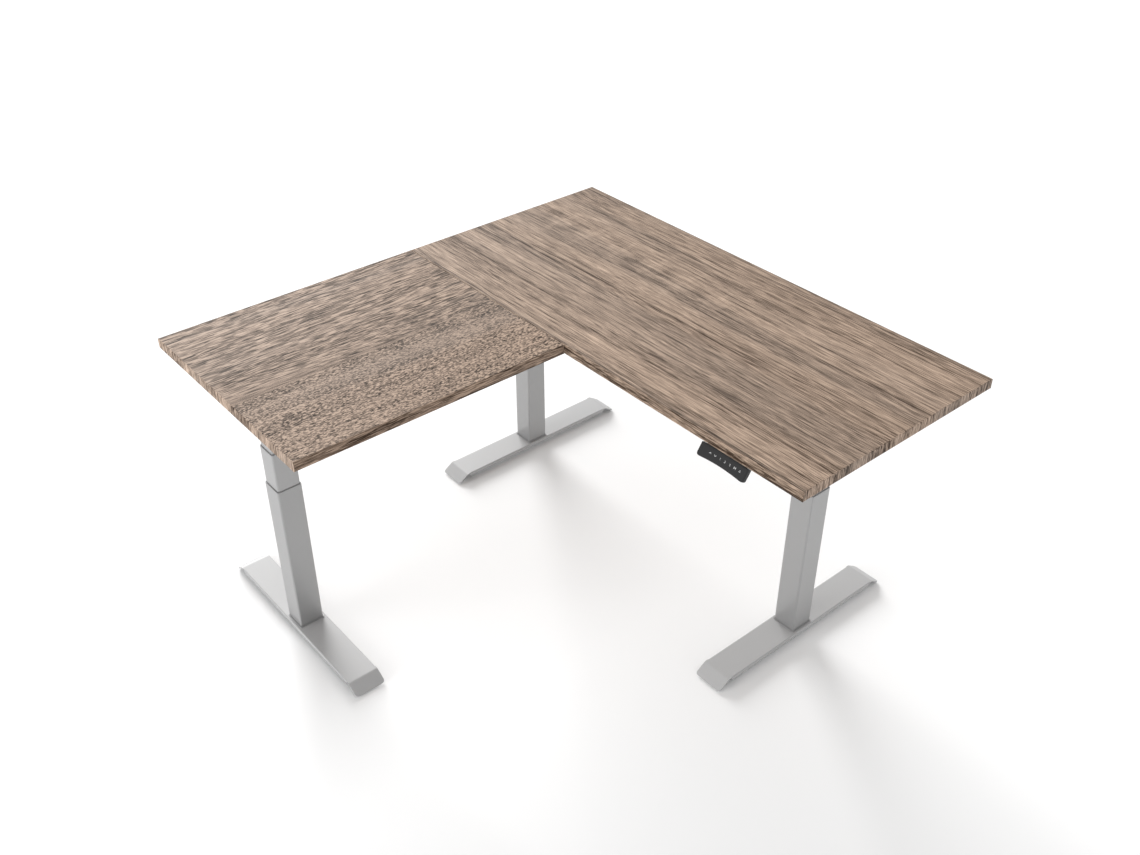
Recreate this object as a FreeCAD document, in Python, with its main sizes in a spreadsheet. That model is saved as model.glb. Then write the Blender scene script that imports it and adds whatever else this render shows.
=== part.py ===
"""Corner sit-stand desk: two butted tops on three telescopic electric columns.

The frame's origin is on the floor under the middle of the desk. +X runs along the
main top to the user's right, +Y towards the back edge and +Z up. Millimetres.
"""
import FreeCAD, Part
import math
import os
import re
import Sketcher

Vector = FreeCAD.Vector

# The driving dimensions: name, value, what it is.
SIZES = [
    ("top_length", 1500, "main top, left to right"),
    ("top_depth", 700, "main top, back to front"),
    ("return_width", 700, "return top, left to right"),
    ("return_length", 785, "return top, seam to free end"),
    ("top_thickness", 27, "both tops"),
    ("top_height", 812, "floor to work surface, as drawn"),
    ("top_edge", 1, "rounding of every edge of the tops"),
    ("seam_gap", 0.5, "joint line between the tops"),
    ("corner_inset", 82, "corner leg from the left end"),
    ("right_inset", 245, "right leg from the right end"),
    ("leg_setback", 335, "corner and right legs from the back edge"),
    ("return_offset", 364, "return leg from the left edge"),
    ("return_inset", 115, "return leg from the return's free end"),
    ("foot_length", 670, "foot, tip to tip"),
    ("foot_width", 88, "foot, across"),
    ("foot_flat", 600, "flat part of the foot between its folds"),
    ("foot_top", 28, "floor to the foot's top face"),
    ("foot_sheet", 4, "sheet thickness of the foot"),
    ("foot_flange", 12, "depth of the foot's side flanges"),
    ("flange_stop", 12, "flange ends short of each fold"),
    ("tip_height", 5.5, "floor to the upper edge of a tip"),
    ("tip_radius", 9, "rounded corners of the tips"),
    ("boss_radius", 9, "threaded boss of a leveller"),
    ("boss_bottom", 12, "floor to the boss"),
    ("stud_radius", 4, "leveller stud and foot bolts"),
    ("pad_radius", 15, "leveller pad"),
    ("pad_height", 8, "leveller pad"),
    ("leveller_offset", 270, "leveller from the column's axis"),
    ("outer_side", 70, "outer tube, square"),
    ("middle_side", 65, "middle tube, square"),
    ("inner_side", 60, "inner tube, square"),
    ("tube_wall", 1.5, "wall of every column tube"),
    ("tube_radius", 5, "corner radius of every column tube"),
    ("slide_gap", 0.3, "running gap of each plastic collar"),
    ("collar_rim", 1.5, "visible rim of each collar"),
    ("collar_depth", 30, "sleeve of each collar inside its tube"),
    ("corner_cut", 2, "bevelled corners of a collar's opening"),
    ("base_side", 74, "base plate under the outer tube"),
    ("base_plate", 3, "thickness of the base plate"),
    ("outer_top", 502, "floor to the outer collar's rim"),
    ("middle_top", 619, "floor to the middle collar's rim"),
    ("middle_bottom", 144, "floor to the middle tube's lower end"),
    ("inner_bottom", 255, "floor to the inner tube's lower end"),
    ("bearing_plate", 4, "plate in the middle tube's lower end"),
    ("lift_nut", 10, "nut plate in the inner tube's lower end"),
    ("base_screw_radius", 6, "fixed screw"),
    ("base_screw_top", 487, "floor to the fixed screw's end"),
    ("drive_tube_bore", 6.5, "radius"),
    ("drive_tube_radius", 8.5, "outside"),
    ("drive_tube_bottom", 266, "floor to the drive tube's lower end"),
    ("worm_wheel_radius", 11, "wheel on the drive tube"),
    ("screw_tube_bore", 9, "radius"),
    ("screw_tube_radius", 12, "outside"),
    ("screw_tube_bottom", 140, "floor to the screw tube's lower end"),
    ("screw_tube_top", 590, "floor to the screw tube's upper end"),
    ("arm_length", 560, "top support arm"),
    ("arm_width", 70, "top support arm"),
    ("arm_plate", 4, "top support arm"),
    ("arm_flange", 16, "depth of the arm's side flanges"),
    ("rail_height", 40, "rectangular rail"),
    ("rail_width", 20, "rectangular rail"),
    ("rail_wall", 2, "rectangular rail"),
    ("rail_spread", 55, "rail from the column's axis"),
    ("rail_overhang", 45, "rail beyond the column's axis"),
    ("housing_side", 76, "gearbox housing, square"),
    ("housing_height", 51, "gearbox housing"),
    ("motor_radius", 22, "drive motor"),
    ("motor_length", 84, "drive motor"),
    ("worm_offset", 16, "motor axis beside the column's axis"),
    ("motor_drop", 25.5, "motor axis below the arm"),
    ("bracket_width", 170, "angle that joins the return's rails"),
    ("bracket_depth", 60, "angle that joins the return's rails"),
    ("bracket_sheet", 4, "angle that joins the return's rails"),
    ("seam_plate_width", 90, "plate across the seam"),
    ("seam_plate_length", 160, "plate across the seam"),
    ("seam_plate_sheet", 3, "plate across the seam"),
    ("seam_plate_spread", 200, "seam plates from the return leg's axis"),
    ("case_length", 260, "control box"),
    ("case_depth", 100, "control box"),
    ("case_height", 32, "control box below its cover"),
    ("case_wall", 2, "control box"),
    ("cover_ear", 22, "cover beyond the box, each end"),
    ("control_place", 600, "control box from the left end"),
    ("control_setback", 150, "control box from the back edge"),
    ("socket_depth", 14, "socket housings"),
    ("socket_recess", 11, "recess of every socket"),
    ("socket_wall", 1.5, "wall round every socket"),
    ("handset_width", 147, "touch handset"),
    ("handset_height", 34, "touch handset, along its face"),
    ("handset_thickness", 11, "touch handset"),
    ("handset_inset", 229, "handset from the right end"),
    ("handset_reach", 19, "lower edge in front of the main top"),
    ("handset_drop", 30, "lower edge below the underside"),
    ("handset_tilt", 34, "face from the vertical, degrees"),
    ("handset_radius", 7, "rounded lower corners"),
    ("handset_hollow", 3, "rise of the concave lower edge"),
    ("panel_inset", 2, "touch panel inside the handset's rim"),
    ("panel_thickness", 0.8, "touch panel"),
    ("tab_depth", 52, "handset's fixing tab"),
    ("tab_thickness", 6, "handset's fixing tab"),
    ("wood_screw_radius", 2.1, "shank"),
    ("wood_screw_length", 16, "shank"),
    ("wood_screw_head", 4.5, "radius"),
    ("bolt_radius", 3, "frame bolts"),
    ("bolt_head", 5, "radius"),
    ("bolt_head_height", 2.5, "frame bolts"),
    ("bolt_length", 13, "frame bolts, under the head"),
]
VALUES = {name: value for name, value, meaning in SIZES}

# Derived places, as formulas over the sheet's names.
LEFT = "(-top_length / 2)"
BACK = "((top_depth + return_length) / 2)"
SEAM = "((return_length - top_depth) / 2)"
UNDERSIDE = "(top_height - top_thickness)"
ARM_BOTTOM = "(top_height - top_thickness - arm_plate)"
HOUSING_BOTTOM = "(top_height - top_thickness - arm_plate - housing_height)"
MOTOR_AXIS = "(top_height - top_thickness - arm_plate - motor_drop)"

# Each leg is drawn with its foot along its own X and its motor towards its own +Y:
# name, place of its axis, turn about +Z.
LEGS = [
    ("corner", f"{LEFT} + corner_inset", f"{BACK} - leg_setback", -90),
    ("right", f"-{LEFT} - right_inset", f"{BACK} - leg_setback", 90),
    ("return", f"{LEFT} + return_offset", f"return_inset - {BACK}", 0),
]
# The levellers at the +X and the -X end of each foot as drawn, named by where they end up.
LEVELLERS = {
    "corner": [("front", 1), ("back", -1)],
    "right": [("back", 1), ("front", -1)],
    "return": [("right", 1), ("left", -1)],
}

# The control box's sockets: place along the box, width, height.
SOCKETS = [(-95, 26, 18), (-50, 20, 12), (-20, 20, 12), (10, 20, 12), (50, 16, 14)]
DRIVE_SOCKET = (20, 12)

# Screw places on an arm, on either side of both of its centre lines.
ARM_SCREWS = [(250, 20), (120, 20)]
ARM_BOLTS = [(55, 18), (26, 26)]
FOOT_BOLTS = (22, 22)

doc = FreeCAD.newDocument("corner_desk")
sheet = doc.addObject("Spreadsheet::Sheet", "sizes")
for row, (name, value, meaning) in enumerate(SIZES, start=1):
    sheet.set(f"A{row}", str(value))
    sheet.setAlias(f"A{row}", name)
    sheet.set(f"B{row}", meaning)
doc.recompute()

nodes = []


# ---------------------------------------------------------------- shared helpers
def formula(text):
    """The same formula with each of the sheet's names written as sizes.name."""
    return re.sub(r"[a-z_]+", lambda word: f"sizes.{word[0]}" if word[0] in VALUES else word[0],
                  text)


def bind(thing, prop, text):
    thing.setExpression(prop, formula(str(text)))


def place(thing, x, y, z="0", turn=0):
    """Puts a finished sub-part at a place given by formulas, turned about +Z."""
    thing.Placement = FreeCAD.Placement(Vector(0, 0, 0), FreeCAD.Rotation(Vector(0, 0, 1), turn))
    for axis, text in zip("xyz", (x, y, z)):
        bind(thing, f"Placement.Base.{axis}", text)


def node(thing, label):
    """Marks a finished sub-part, whose label names its file."""
    thing.Label = label
    nodes.append(thing)
    return thing


def new_body(label):
    return doc.addObject("PartDesign::Body", f"body_{label}")


def new_sketch(body, role, name):
    """A sketch on one of the body's own origin planes, XY_Plane, XZ_Plane or YZ_Plane."""
    plane = next(item for item in body.Origin.OriginFeatures if item.Role == role)
    sketch = body.newObject("Sketcher::SketchObject", name)
    sketch.AttachmentSupport = [(plane, "")]
    sketch.MapMode = "FlatFace"
    return sketch


def add_polygon(sketch, corners):
    """A closed outline whose corners are pairs of formulas, counted from the origin."""
    first = sketch.GeometryCount
    count = len(corners)
    start = [Vector(50 * math.cos(math.tau * step / count), 50 * math.sin(math.tau * step / count), 0)
             for step in range(count)]
    for step in range(count):
        sketch.addGeometry(Part.LineSegment(start[step], start[(step + 1) % count]), False)
    for step in range(count):
        joined = first + (step + 1) % count
        sketch.addConstraint(Sketcher.Constraint("Coincident", first + step, 2, joined, 1))
    for step, corner in enumerate(corners):
        for kind, text, rough in zip(("DistanceX", "DistanceY"), corner, start[step]):
            number = sketch.addConstraint(Sketcher.Constraint(kind, -1, 1, first + step, 1, rough))
            bind(sketch, f"Constraints[{number}]", text)


def add_rectangle(sketch, width, height, x="0", y="0"):
    """A rectangle of the given width and height about the point (x, y)."""
    left, right = (f"({x}) {sign} ({width}) / 2" for sign in "-+")
    low, high = (f"({y}) {sign} ({height}) / 2" for sign in "-+")
    add_polygon(sketch, [(left, low), (right, low), (right, high), (left, high)])


def add_circle(sketch, radius, x="0", y="0"):
    number = sketch.addGeometry(Part.Circle(Vector(1, 1, 0), Vector(0, 0, 1), 5), False)
    for kind, text in (("DistanceX", x), ("DistanceY", y)):
        constraint = sketch.addConstraint(Sketcher.Constraint(kind, -1, 1, number, 3, 1))
        bind(sketch, f"Constraints[{constraint}]", text)
    constraint = sketch.addConstraint(Sketcher.Constraint("Radius", number, 5))
    bind(sketch, f"Constraints[{constraint}]", radius)


def raise_sketch(sketch, height):
    """Lifts a sketch along its own normal."""
    bind(sketch, "AttachmentOffset.Base.z", height)


def add_pad(body, sketch, length, symmetric=False):
    pad = body.newObject("PartDesign::Pad", f"pad_{sketch.Name}")
    pad.Profile = sketch
    if symmetric:
        pad.SideType = "Symmetric"
    bind(pad, "Length", length)
    return pad


def add_pocket(body, sketch):
    """Cuts the sketch through everything, both ways."""
    pocket = body.newObject("PartDesign::Pocket", f"pocket_{sketch.Name}")
    pocket.Profile = sketch
    pocket.Type = "ThroughAll"
    pocket.SideType = "Symmetric"
    return pocket


def add_fillet(body, feature, radius, wanted):
    """Rounds the edges of the feature whose middle point and direction pass the test."""
    doc.recompute()
    names = []
    for number, edge in enumerate(feature.Shape.Edges, start=1):
        middle = edge.CenterOfMass
        along = edge.tangentAt(edge.FirstParameter)
        if wanted(middle, along, edge.Length):
            names.append(f"Edge{number}")
    fillet = body.newObject("PartDesign::Fillet", f"fillet_{feature.Name}")
    fillet.Base = (feature, names)
    bind(fillet, "Radius", radius)
    return fillet


def upright(middle, along, length):
    return abs(along.z) > 0.99


def revolve(body, sketch):
    turned = body.newObject("PartDesign::Revolution", f"turn_{sketch.Name}")
    turned.Profile = sketch
    turned.ReferenceAxis = (sketch, ["V_Axis"])
    turned.Angle = 360
    return turned


def box(name, length, width, height, x, y, z):
    """A box centred on (x, y) that stands on z, all as formulas."""
    solid = doc.addObject("Part::Box", name)
    for prop, text in zip(("Length", "Width", "Height"), (length, width, height)):
        bind(solid, prop, text)
    bind(solid, "Placement.Base.x", f"({x}) - ({length}) / 2")
    bind(solid, "Placement.Base.y", f"({y}) - ({width}) / 2")
    bind(solid, "Placement.Base.z", z)
    return solid


def rod(name, radius, height, x, y, z, axis=Vector(0, 0, 1)):
    """A cylinder that starts at (x, y, z) and runs along the axis."""
    solid = doc.addObject("Part::Cylinder", name)
    solid.Placement = FreeCAD.Placement(Vector(0, 0, 0), FreeCAD.Rotation(Vector(0, 0, 1), axis))
    bind(solid, "Radius", radius)
    bind(solid, "Height", height)
    for letter, text in zip("xyz", (x, y, z)):
        bind(solid, f"Placement.Base.{letter}", text)
    return solid


def joined(name, solids):
    fused = doc.addObject("Part::MultiFuse", name)
    fused.Shapes = solids
    return fused


def cut(name, base, tools):
    """The base with every tool taken away."""
    result = doc.addObject("Part::Cut", name)
    result.Base = base
    result.Tool = tools[0] if len(tools) == 1 else joined(f"tools_{name}", tools)
    return result


def four_ways(across, along):
    """The four places on either side of both centre lines."""
    return [(sx * across, sy * along) for sx in (-1, 1) for sy in (-1, 1)]


def leg_points(leg, offsets):
    """Places given beside a leg's axis, turned and moved into the desk's frame."""
    name, x, y, turn = leg
    spin = FreeCAD.Rotation(Vector(0, 0, 1), turn)
    corner = Vector(VALUES["corner_inset"] - VALUES["top_length"] / 2,
                    (VALUES["top_depth"] + VALUES["return_length"]) / 2 - VALUES["leg_setback"], 0)
    axis = {
        "corner": corner,
        "right": Vector(VALUES["top_length"] / 2 - VALUES["right_inset"], corner.y, 0),
        "return": Vector(VALUES["return_offset"] - VALUES["top_length"] / 2,
                         VALUES["return_inset"] - (VALUES["top_depth"] + VALUES["return_length"]) / 2, 0),
    }[name]
    return [axis + spin.multVec(Vector(u, v, 0)) for u, v in offsets]


def fastener(head_radius, head_height, shank_radius, shank_length, upward):
    """A head from z = 0 away from the shank, with the shank along +Z or -Z."""
    way = 1 if upward else -1
    head = Part.makeCylinder(head_radius, head_height, Vector(0, 0, 0), Vector(0, 0, -way))
    shank = Part.makeCylinder(shank_radius, shank_length, Vector(0, 0, 0), Vector(0, 0, way))
    return head.fuse(shank).removeSplitter()


def fastener_group(label, solids):
    """Like fasteners share one sub-part, as separate solids."""
    group = doc.addObject("Part::Feature", label)
    group.Shape = Part.makeCompound(solids)
    return node(group, label)


# ---------------------------------------------------------------- the two tops
def slab(label, length, width, x, y):
    """A board with eased edges and its underside on the frame."""
    body = new_body(label)
    outline = new_sketch(body, "XY_Plane", f"{label}_outline")
    add_rectangle(outline, length, width)
    board = add_pad(body, outline, "top_thickness")
    add_fillet(body, board, "top_edge", lambda middle, along, length: True)
    place(body, x, y, UNDERSIDE)
    return node(body, label)


slab("main_top", "top_length", "top_depth", "0", f"{BACK} - top_depth / 2")
slab("return_top", "return_width", "return_length - seam_gap",
     f"{LEFT} + return_width / 2", f"{SEAM} - seam_gap - (return_length - seam_gap) / 2")


# ---------------------------------------------------------------- feet and levellers
def foot(leg):
    """One bent sheet: a flat, two tips folded down and a flange along each side.

    Two threaded bosses hold the levellers.
    """
    name, x, y, turn = leg
    body = new_body(f"{name}_foot")
    bend = "atan((foot_top - tip_height) / ((foot_length - foot_flat) / 2))"
    fold = "foot_flat / 2"
    tip = "foot_length / 2"
    inner_fold = f"(foot_flat / 2 - foot_sheet * tan({bend} / 2))"
    inner_tip = f"(foot_length / 2 - foot_sheet * sin({bend}))"
    profile = new_sketch(body, "XZ_Plane", f"{name}_foot_profile")
    half = [(fold, "foot_top"), (tip, "tip_height"),
            (inner_tip, f"tip_height - foot_sheet * cos({bend})"),
            (inner_fold, "foot_top - foot_sheet")]
    mirrored = [(f"-{across}", up) for across, up in reversed(half)]
    add_polygon(profile, half + mirrored)
    strip = add_pad(body, profile, "foot_width", symmetric=True)
    tips = add_fillet(body, strip, "tip_radius",
                      lambda middle, along, length: abs(middle.x) > VALUES["foot_flat"] / 2 + 30
                      and length < 2 * VALUES["foot_sheet"])
    folds = add_fillet(body, tips, "foot_sheet",
                       lambda middle, along, length: abs(along.y) > 0.99
                       and abs(abs(middle.x) - VALUES["foot_flat"] / 2) < 0.01
                       and middle.z > VALUES["foot_top"] - 1)
    flanges = new_sketch(body, "YZ_Plane", f"{name}_foot_flanges")
    for side in "-+":
        add_rectangle(flanges, "foot_sheet", "foot_flange",
                      f"0 {side} (foot_width - foot_sheet) / 2", "foot_top - foot_flange / 2")
    add_pad(body, flanges, "foot_flat - 2 * flange_stop", symmetric=True)
    bosses = new_sketch(body, "XY_Plane", f"{name}_foot_bosses")
    raise_sketch(bosses, "boss_bottom")
    for side in "-+":
        add_circle(bosses, "boss_radius", f"0 {side} leveller_offset")
    add_pad(body, bosses, "foot_top - foot_sheet - boss_bottom + 1")
    holes = new_sketch(body, "XY_Plane", f"{name}_foot_holes")
    for across, along in four_ways(*FOOT_BOLTS):
        add_circle(holes, "stud_radius + 0.5", across, along)
    add_pocket(body, holes)
    threads = new_sketch(body, "XY_Plane", f"{name}_foot_threads")
    for side in "-+":
        add_circle(threads, "stud_radius + 0.1", f"0 {side} leveller_offset")
    bore = body.newObject("PartDesign::Pocket", f"{name}_foot_bore")
    bore.Profile = threads
    bore.Reversed = True
    bind(bore, "Length", "foot_top - foot_sheet / 2")
    place(body, x, y, turn=turn)
    return node(body, f"{name}_foot")


def leveller(leg, end, side):
    """A pad on a stud that screws up into the foot's boss."""
    name, x, y, turn = leg
    body = new_body(f"{name}_leveller_{end}")
    profile = new_sketch(body, "XZ_Plane", f"{name}_leveller_{end}_profile")
    add_polygon(profile, [("0", "0"), ("pad_radius - 1", "0"), ("pad_radius", "1"),
                          ("pad_radius", "pad_height - 3"), ("boss_radius", "pad_height"),
                          ("stud_radius", "pad_height"), ("stud_radius", "foot_top - foot_sheet"),
                          ("0", "foot_top - foot_sheet")])
    revolve(body, profile)
    radians = math.radians(turn)
    place(body, f"{x} + ({side * math.cos(radians):.0f}) * leveller_offset",
          f"{y} + ({side * math.sin(radians):.0f}) * leveller_offset")
    return node(body, f"{name}_leveller_{end}")


def foot_bolts(leg):
    """Four bolts that hold the column's base plate on the foot."""
    head = VALUES["foot_top"] - VALUES["foot_sheet"]
    reach = VALUES["foot_sheet"] + VALUES["base_plate"] + 5
    bolt = fastener(1.6 * VALUES["stud_radius"], 5, VALUES["stud_radius"], reach, True)
    solids = []
    for point in leg_points(leg, four_ways(*FOOT_BOLTS)):
        solids.append(bolt.translated(point + Vector(0, 0, head)))
    return fastener_group(f"{leg[0]}_foot_bolts", solids)


# ---------------------------------------------------------------- column tubes and collars
def square_tube(body, name, side, bottom, top):
    """A square tube with rounded corners, between two heights."""
    outside = new_sketch(body, "XY_Plane", f"{name}_outside")
    raise_sketch(outside, bottom)
    add_rectangle(outside, side, side)
    solid = add_pad(body, outside, f"({top}) - ({bottom})")
    rounded = add_fillet(body, solid, "tube_radius", upright)
    inside = new_sketch(body, "XY_Plane", f"{name}_inside")
    add_rectangle(inside, f"{side} - 2 * tube_wall", f"{side} - 2 * tube_wall")
    bore = add_pocket(body, inside)
    half = VALUES[side] / 2 - VALUES["tube_wall"]
    return add_fillet(body, bore, "tube_radius - tube_wall",
                      lambda middle, along, length: upright(middle, along, length)
                      and abs(abs(middle.x) - half) < 0.01 and abs(abs(middle.y) - half) < 0.01)


def outer_tube(leg):
    """The lowest stage, welded on its base plate."""
    name, x, y, turn = leg
    body = new_body(f"{name}_outer_tube")
    square_tube(body, f"{name}_outer", "outer_side", "foot_top + base_plate",
                "outer_top - collar_rim")
    plate = new_sketch(body, "XY_Plane", f"{name}_base_plate")
    raise_sketch(plate, "foot_top")
    add_rectangle(plate, "base_side", "base_side")
    add_pad(body, plate, "base_plate")
    holes = new_sketch(body, "XY_Plane", f"{name}_base_holes")
    for across, along in four_ways(*FOOT_BOLTS):
        add_circle(holes, "stud_radius + 0.1", across, along)
    add_pocket(body, holes)
    place(body, x, y, turn=turn)
    return node(body, f"{name}_outer_tube")


def middle_tube(leg):
    """The middle stage, with the plate that carries the screw tube in its lower end."""
    name, x, y, turn = leg
    body = new_body(f"{name}_middle_tube")
    square_tube(body, f"{name}_middle", "middle_side", "middle_bottom", "middle_top - collar_rim")
    plate = new_sketch(body, "XY_Plane", f"{name}_bearing_plate")
    raise_sketch(plate, "middle_bottom")
    add_rectangle(plate, "middle_side - 2 * tube_wall", "middle_side - 2 * tube_wall")
    add_circle(plate, "screw_tube_radius + slide_gap")
    add_pad(body, plate, "bearing_plate")
    place(body, x, y, turn=turn)
    return node(body, f"{name}_middle_tube")


def inner_tube(leg):
    """The upper stage, with the nut plate in its lower end."""
    name, x, y, turn = leg
    body = new_body(f"{name}_inner_tube")
    square_tube(body, f"{name}_inner", "inner_side", "inner_bottom", HOUSING_BOTTOM)
    plate = new_sketch(body, "XY_Plane", f"{name}_lift_nut")
    raise_sketch(plate, "inner_bottom")
    add_rectangle(plate, "inner_side - 2 * tube_wall", "inner_side - 2 * tube_wall")
    add_circle(plate, "screw_tube_radius + slide_gap")
    add_pad(body, plate, "lift_nut")
    place(body, x, y, turn=turn)
    return node(body, f"{name}_inner_tube")


def collar(leg, stage, tube_side, sliding_side, rim_top):
    """A plastic guide: a sleeve inside the tube's mouth with a rim on its edge."""
    name, x, y, turn = leg
    body = new_body(f"{name}_{stage}_collar")
    bore = f"{sliding_side} + 2 * slide_gap"
    sleeve = new_sketch(body, "XY_Plane", f"{name}_{stage}_sleeve")
    raise_sketch(sleeve, f"{rim_top} - collar_rim - collar_depth")
    add_rectangle(sleeve, f"{tube_side} - 2 * tube_wall", f"{tube_side} - 2 * tube_wall")
    sleeve_pad = add_pad(body, sleeve, "collar_depth")
    add_fillet(body, sleeve_pad, "tube_radius - tube_wall", upright)
    rim = new_sketch(body, "XY_Plane", f"{name}_{stage}_rim")
    raise_sketch(rim, f"{rim_top} - collar_rim")
    add_rectangle(rim, tube_side, tube_side)
    rim_pad = add_pad(body, rim, "collar_rim")
    half = VALUES[tube_side] / 2
    add_fillet(body, rim_pad, "tube_radius",
               lambda middle, along, length: upright(middle, along, length)
               and abs(abs(middle.x) - half) < 0.01 and abs(abs(middle.y) - half) < 0.01)
    opening = new_sketch(body, "XY_Plane", f"{name}_{stage}_opening")
    wall = f"({bore}) / 2"
    near = f"(({bore}) / 2 - corner_cut)"
    add_polygon(opening, [(wall, f"-{near}"), (wall, near), (near, wall), (f"-{near}", wall),
                          (f"-{wall}", near), (f"-{wall}", f"-{near}"), (f"-{near}", f"-{wall}"),
                          (near, f"-{wall}")])
    add_pocket(body, opening)
    place(body, x, y, turn=turn)
    return node(body, f"{name}_{stage}_collar")


# ---------------------------------------------------------------- spindle drive
def base_screw(leg):
    """A screw that stands still on the base plate and never turns."""
    name, x, y, turn = leg
    body = new_body(f"{name}_base_screw")
    foot_of_screw = "(foot_top + base_plate)"
    profile = new_sketch(body, "XZ_Plane", f"{name}_base_screw_profile")
    add_polygon(profile, [("0", foot_of_screw), ("15", foot_of_screw), ("15", f"{foot_of_screw} + 4"),
                          ("base_screw_radius", f"{foot_of_screw} + 4"),
                          ("base_screw_radius", "base_screw_top"), ("0", "base_screw_top")])
    revolve(body, profile)
    place(body, x, y)
    return node(body, f"{name}_base_screw")


def screw_tube(leg):
    """Turns in the middle stage: threaded outside for the lift nut and at its foot inside.

    Its flange rests on the bearing plate.
    """
    name, x, y, turn = leg
    body = new_body(f"{name}_screw_tube")
    thread = "base_screw_radius + slide_gap"
    flange = "(middle_bottom + bearing_plate + slide_gap)"
    profile = new_sketch(body, "XZ_Plane", f"{name}_screw_tube_profile")
    add_polygon(profile, [(thread, "screw_tube_bottom"), ("screw_tube_radius", "screw_tube_bottom"),
                          ("screw_tube_radius", flange), ("17", flange), ("17", f"{flange} + 3"),
                          ("screw_tube_radius", f"{flange} + 3"),
                          ("screw_tube_radius", "screw_tube_top"), ("screw_tube_bore", "screw_tube_top"),
                          ("screw_tube_bore", "screw_tube_bottom + 20"),
                          (thread, "screw_tube_bottom + 20")])
    revolve(body, profile)
    place(body, x, y)
    return node(body, f"{name}_screw_tube")


def drive_tube(leg):
    """Hangs from the gearbox, slides in the screw tube and turns it. Its worm wheel is on top."""
    name, x, y, turn = leg
    body = new_body(f"{name}_drive_tube")
    wheel_low = f"({MOTOR_AXIS} - 8)"
    wheel_high = f"({MOTOR_AXIS} + 8)"
    profile = new_sketch(body, "XZ_Plane", f"{name}_drive_tube_profile")
    add_polygon(profile, [("drive_tube_bore", "drive_tube_bottom"),
                          ("drive_tube_radius", "drive_tube_bottom"),
                          ("drive_tube_radius", wheel_low), ("worm_wheel_radius", wheel_low),
                          ("worm_wheel_radius", wheel_high), ("drive_tube_bore", wheel_high)])
    revolve(body, profile)
    place(body, x, y)
    return node(body, f"{name}_drive_tube")


def drive_housing(leg):
    """The gearbox on the column's head: cavity, tube and shaft holes, and the motor's socket."""
    name, x, y, turn = leg
    label = f"{name}_drive_housing"
    width, height = DRIVE_SOCKET
    block = box(f"{label}_block", "housing_side", "housing_side", "housing_height",
                "0", "0", HOUSING_BOTTOM)
    tools = [
        box(f"{label}_cavity", "48", "48", "30", "0", "0", f"{MOTOR_AXIS} - 15"),
        rod(f"{label}_tube_hole", "drive_tube_radius + 1", "housing_height / 2", "0", "0",
            f"{HOUSING_BOTTOM} - 1"),
        rod(f"{label}_shaft_hole", "6", "housing_side / 2", "worm_offset", "5", MOTOR_AXIS,
            Vector(0, 1, 0)),
        box(f"{label}_socket", f"{width} - 2 * socket_wall", "socket_recess",
            f"{height} - 2 * socket_wall", "0", "(socket_recess - housing_side) / 2",
            f"{MOTOR_AXIS} - {height} / 2 + socket_wall"),
    ]
    result = cut(label, block, tools)
    place(result, x, y, turn=turn)
    return node(result, label)


def drive_motor(leg):
    """A sealed motor with its worm shaft, on the side of the gearbox."""
    name, x, y, turn = leg
    label = f"{name}_drive_motor"
    forward = Vector(0, 1, 0)
    can = rod(f"{label}_can", "motor_radius", "motor_length", "worm_offset", "housing_side / 2",
              MOTOR_AXIS, forward)
    shaft = rod(f"{label}_shaft", "4.5", "housing_side / 2 + 20", "worm_offset", "-20",
                MOTOR_AXIS, forward)
    result = joined(label, [can, shaft])
    place(result, x, y, turn=turn)
    return node(result, label)


# ---------------------------------------------------------------- frame under the tops
def arm(leg):
    """A support arm across a leg's head: a plate with side flanges outside the rails."""
    name, x, y, turn = leg
    body = new_body(f"{name}_arm")
    plate = new_sketch(body, "XY_Plane", f"{name}_arm_plate")
    raise_sketch(plate, ARM_BOTTOM)
    add_rectangle(plate, "arm_length", "arm_width")
    add_pad(body, plate, "arm_plate")
    root = "(rail_spread + rail_width / 2 + 6)"
    for side in "-+":
        flange = new_sketch(body, "XZ_Plane", f"{name}_arm_flange_{'left' if side == '-' else 'right'}")
        bind(flange, "AttachmentOffset.Base.z", f"0 {side} (arm_width - 3) / 2")
        for end in "-+":
            add_polygon(flange, [(f"0 {end} {root}", ARM_BOTTOM),
                                 (f"0 {end} {root}", f"{ARM_BOTTOM} - arm_flange"),
                                 (f"0 {end} arm_length / 2 * 0.7", f"{ARM_BOTTOM} - arm_flange"),
                                 (f"0 {end} arm_length / 2", ARM_BOTTOM)])
        add_pad(body, flange, "3", symmetric=True)
    holes = new_sketch(body, "XY_Plane", f"{name}_arm_holes")
    for along, across in ARM_SCREWS:
        for u, v in four_ways(along, across):
            add_circle(holes, "wood_screw_radius + 0.4", u, v)
    for along, across in ARM_BOLTS:
        for u, v in four_ways(along, across):
            add_circle(holes, "bolt_radius + 0.3", u, v)
    add_pocket(body, holes)
    sinks = new_sketch(body, "XY_Plane", f"{name}_arm_sinks")
    raise_sketch(sinks, f"{UNDERSIDE} - bolt_head_height")
    for along, across in ARM_BOLTS:
        for u, v in four_ways(along, across):
            add_circle(sinks, "bolt_head + 0.3", u, v)
    sunk = body.newObject("PartDesign::Pocket", f"{name}_arm_sink")
    sunk.Profile = sinks
    sunk.Reversed = True
    bind(sunk, "Length", "bolt_head_height + 1")
    place(body, x, y, turn=turn)
    return node(body, f"{name}_arm")


def rail(label, length, x, y, turn):
    """A rectangular tube that starts at (x, y) and runs along its own +X."""
    body = new_body(label)
    section = new_sketch(body, "YZ_Plane", f"{label}_section")
    middle = f"{ARM_BOTTOM} - rail_height / 2"
    add_rectangle(section, "rail_width", "rail_height", "0", middle)
    add_rectangle(section, "rail_width - 2 * rail_wall", "rail_height - 2 * rail_wall", "0", middle)
    add_pad(body, section, length)
    place(body, x, y, turn=turn)
    return node(body, label)


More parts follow.
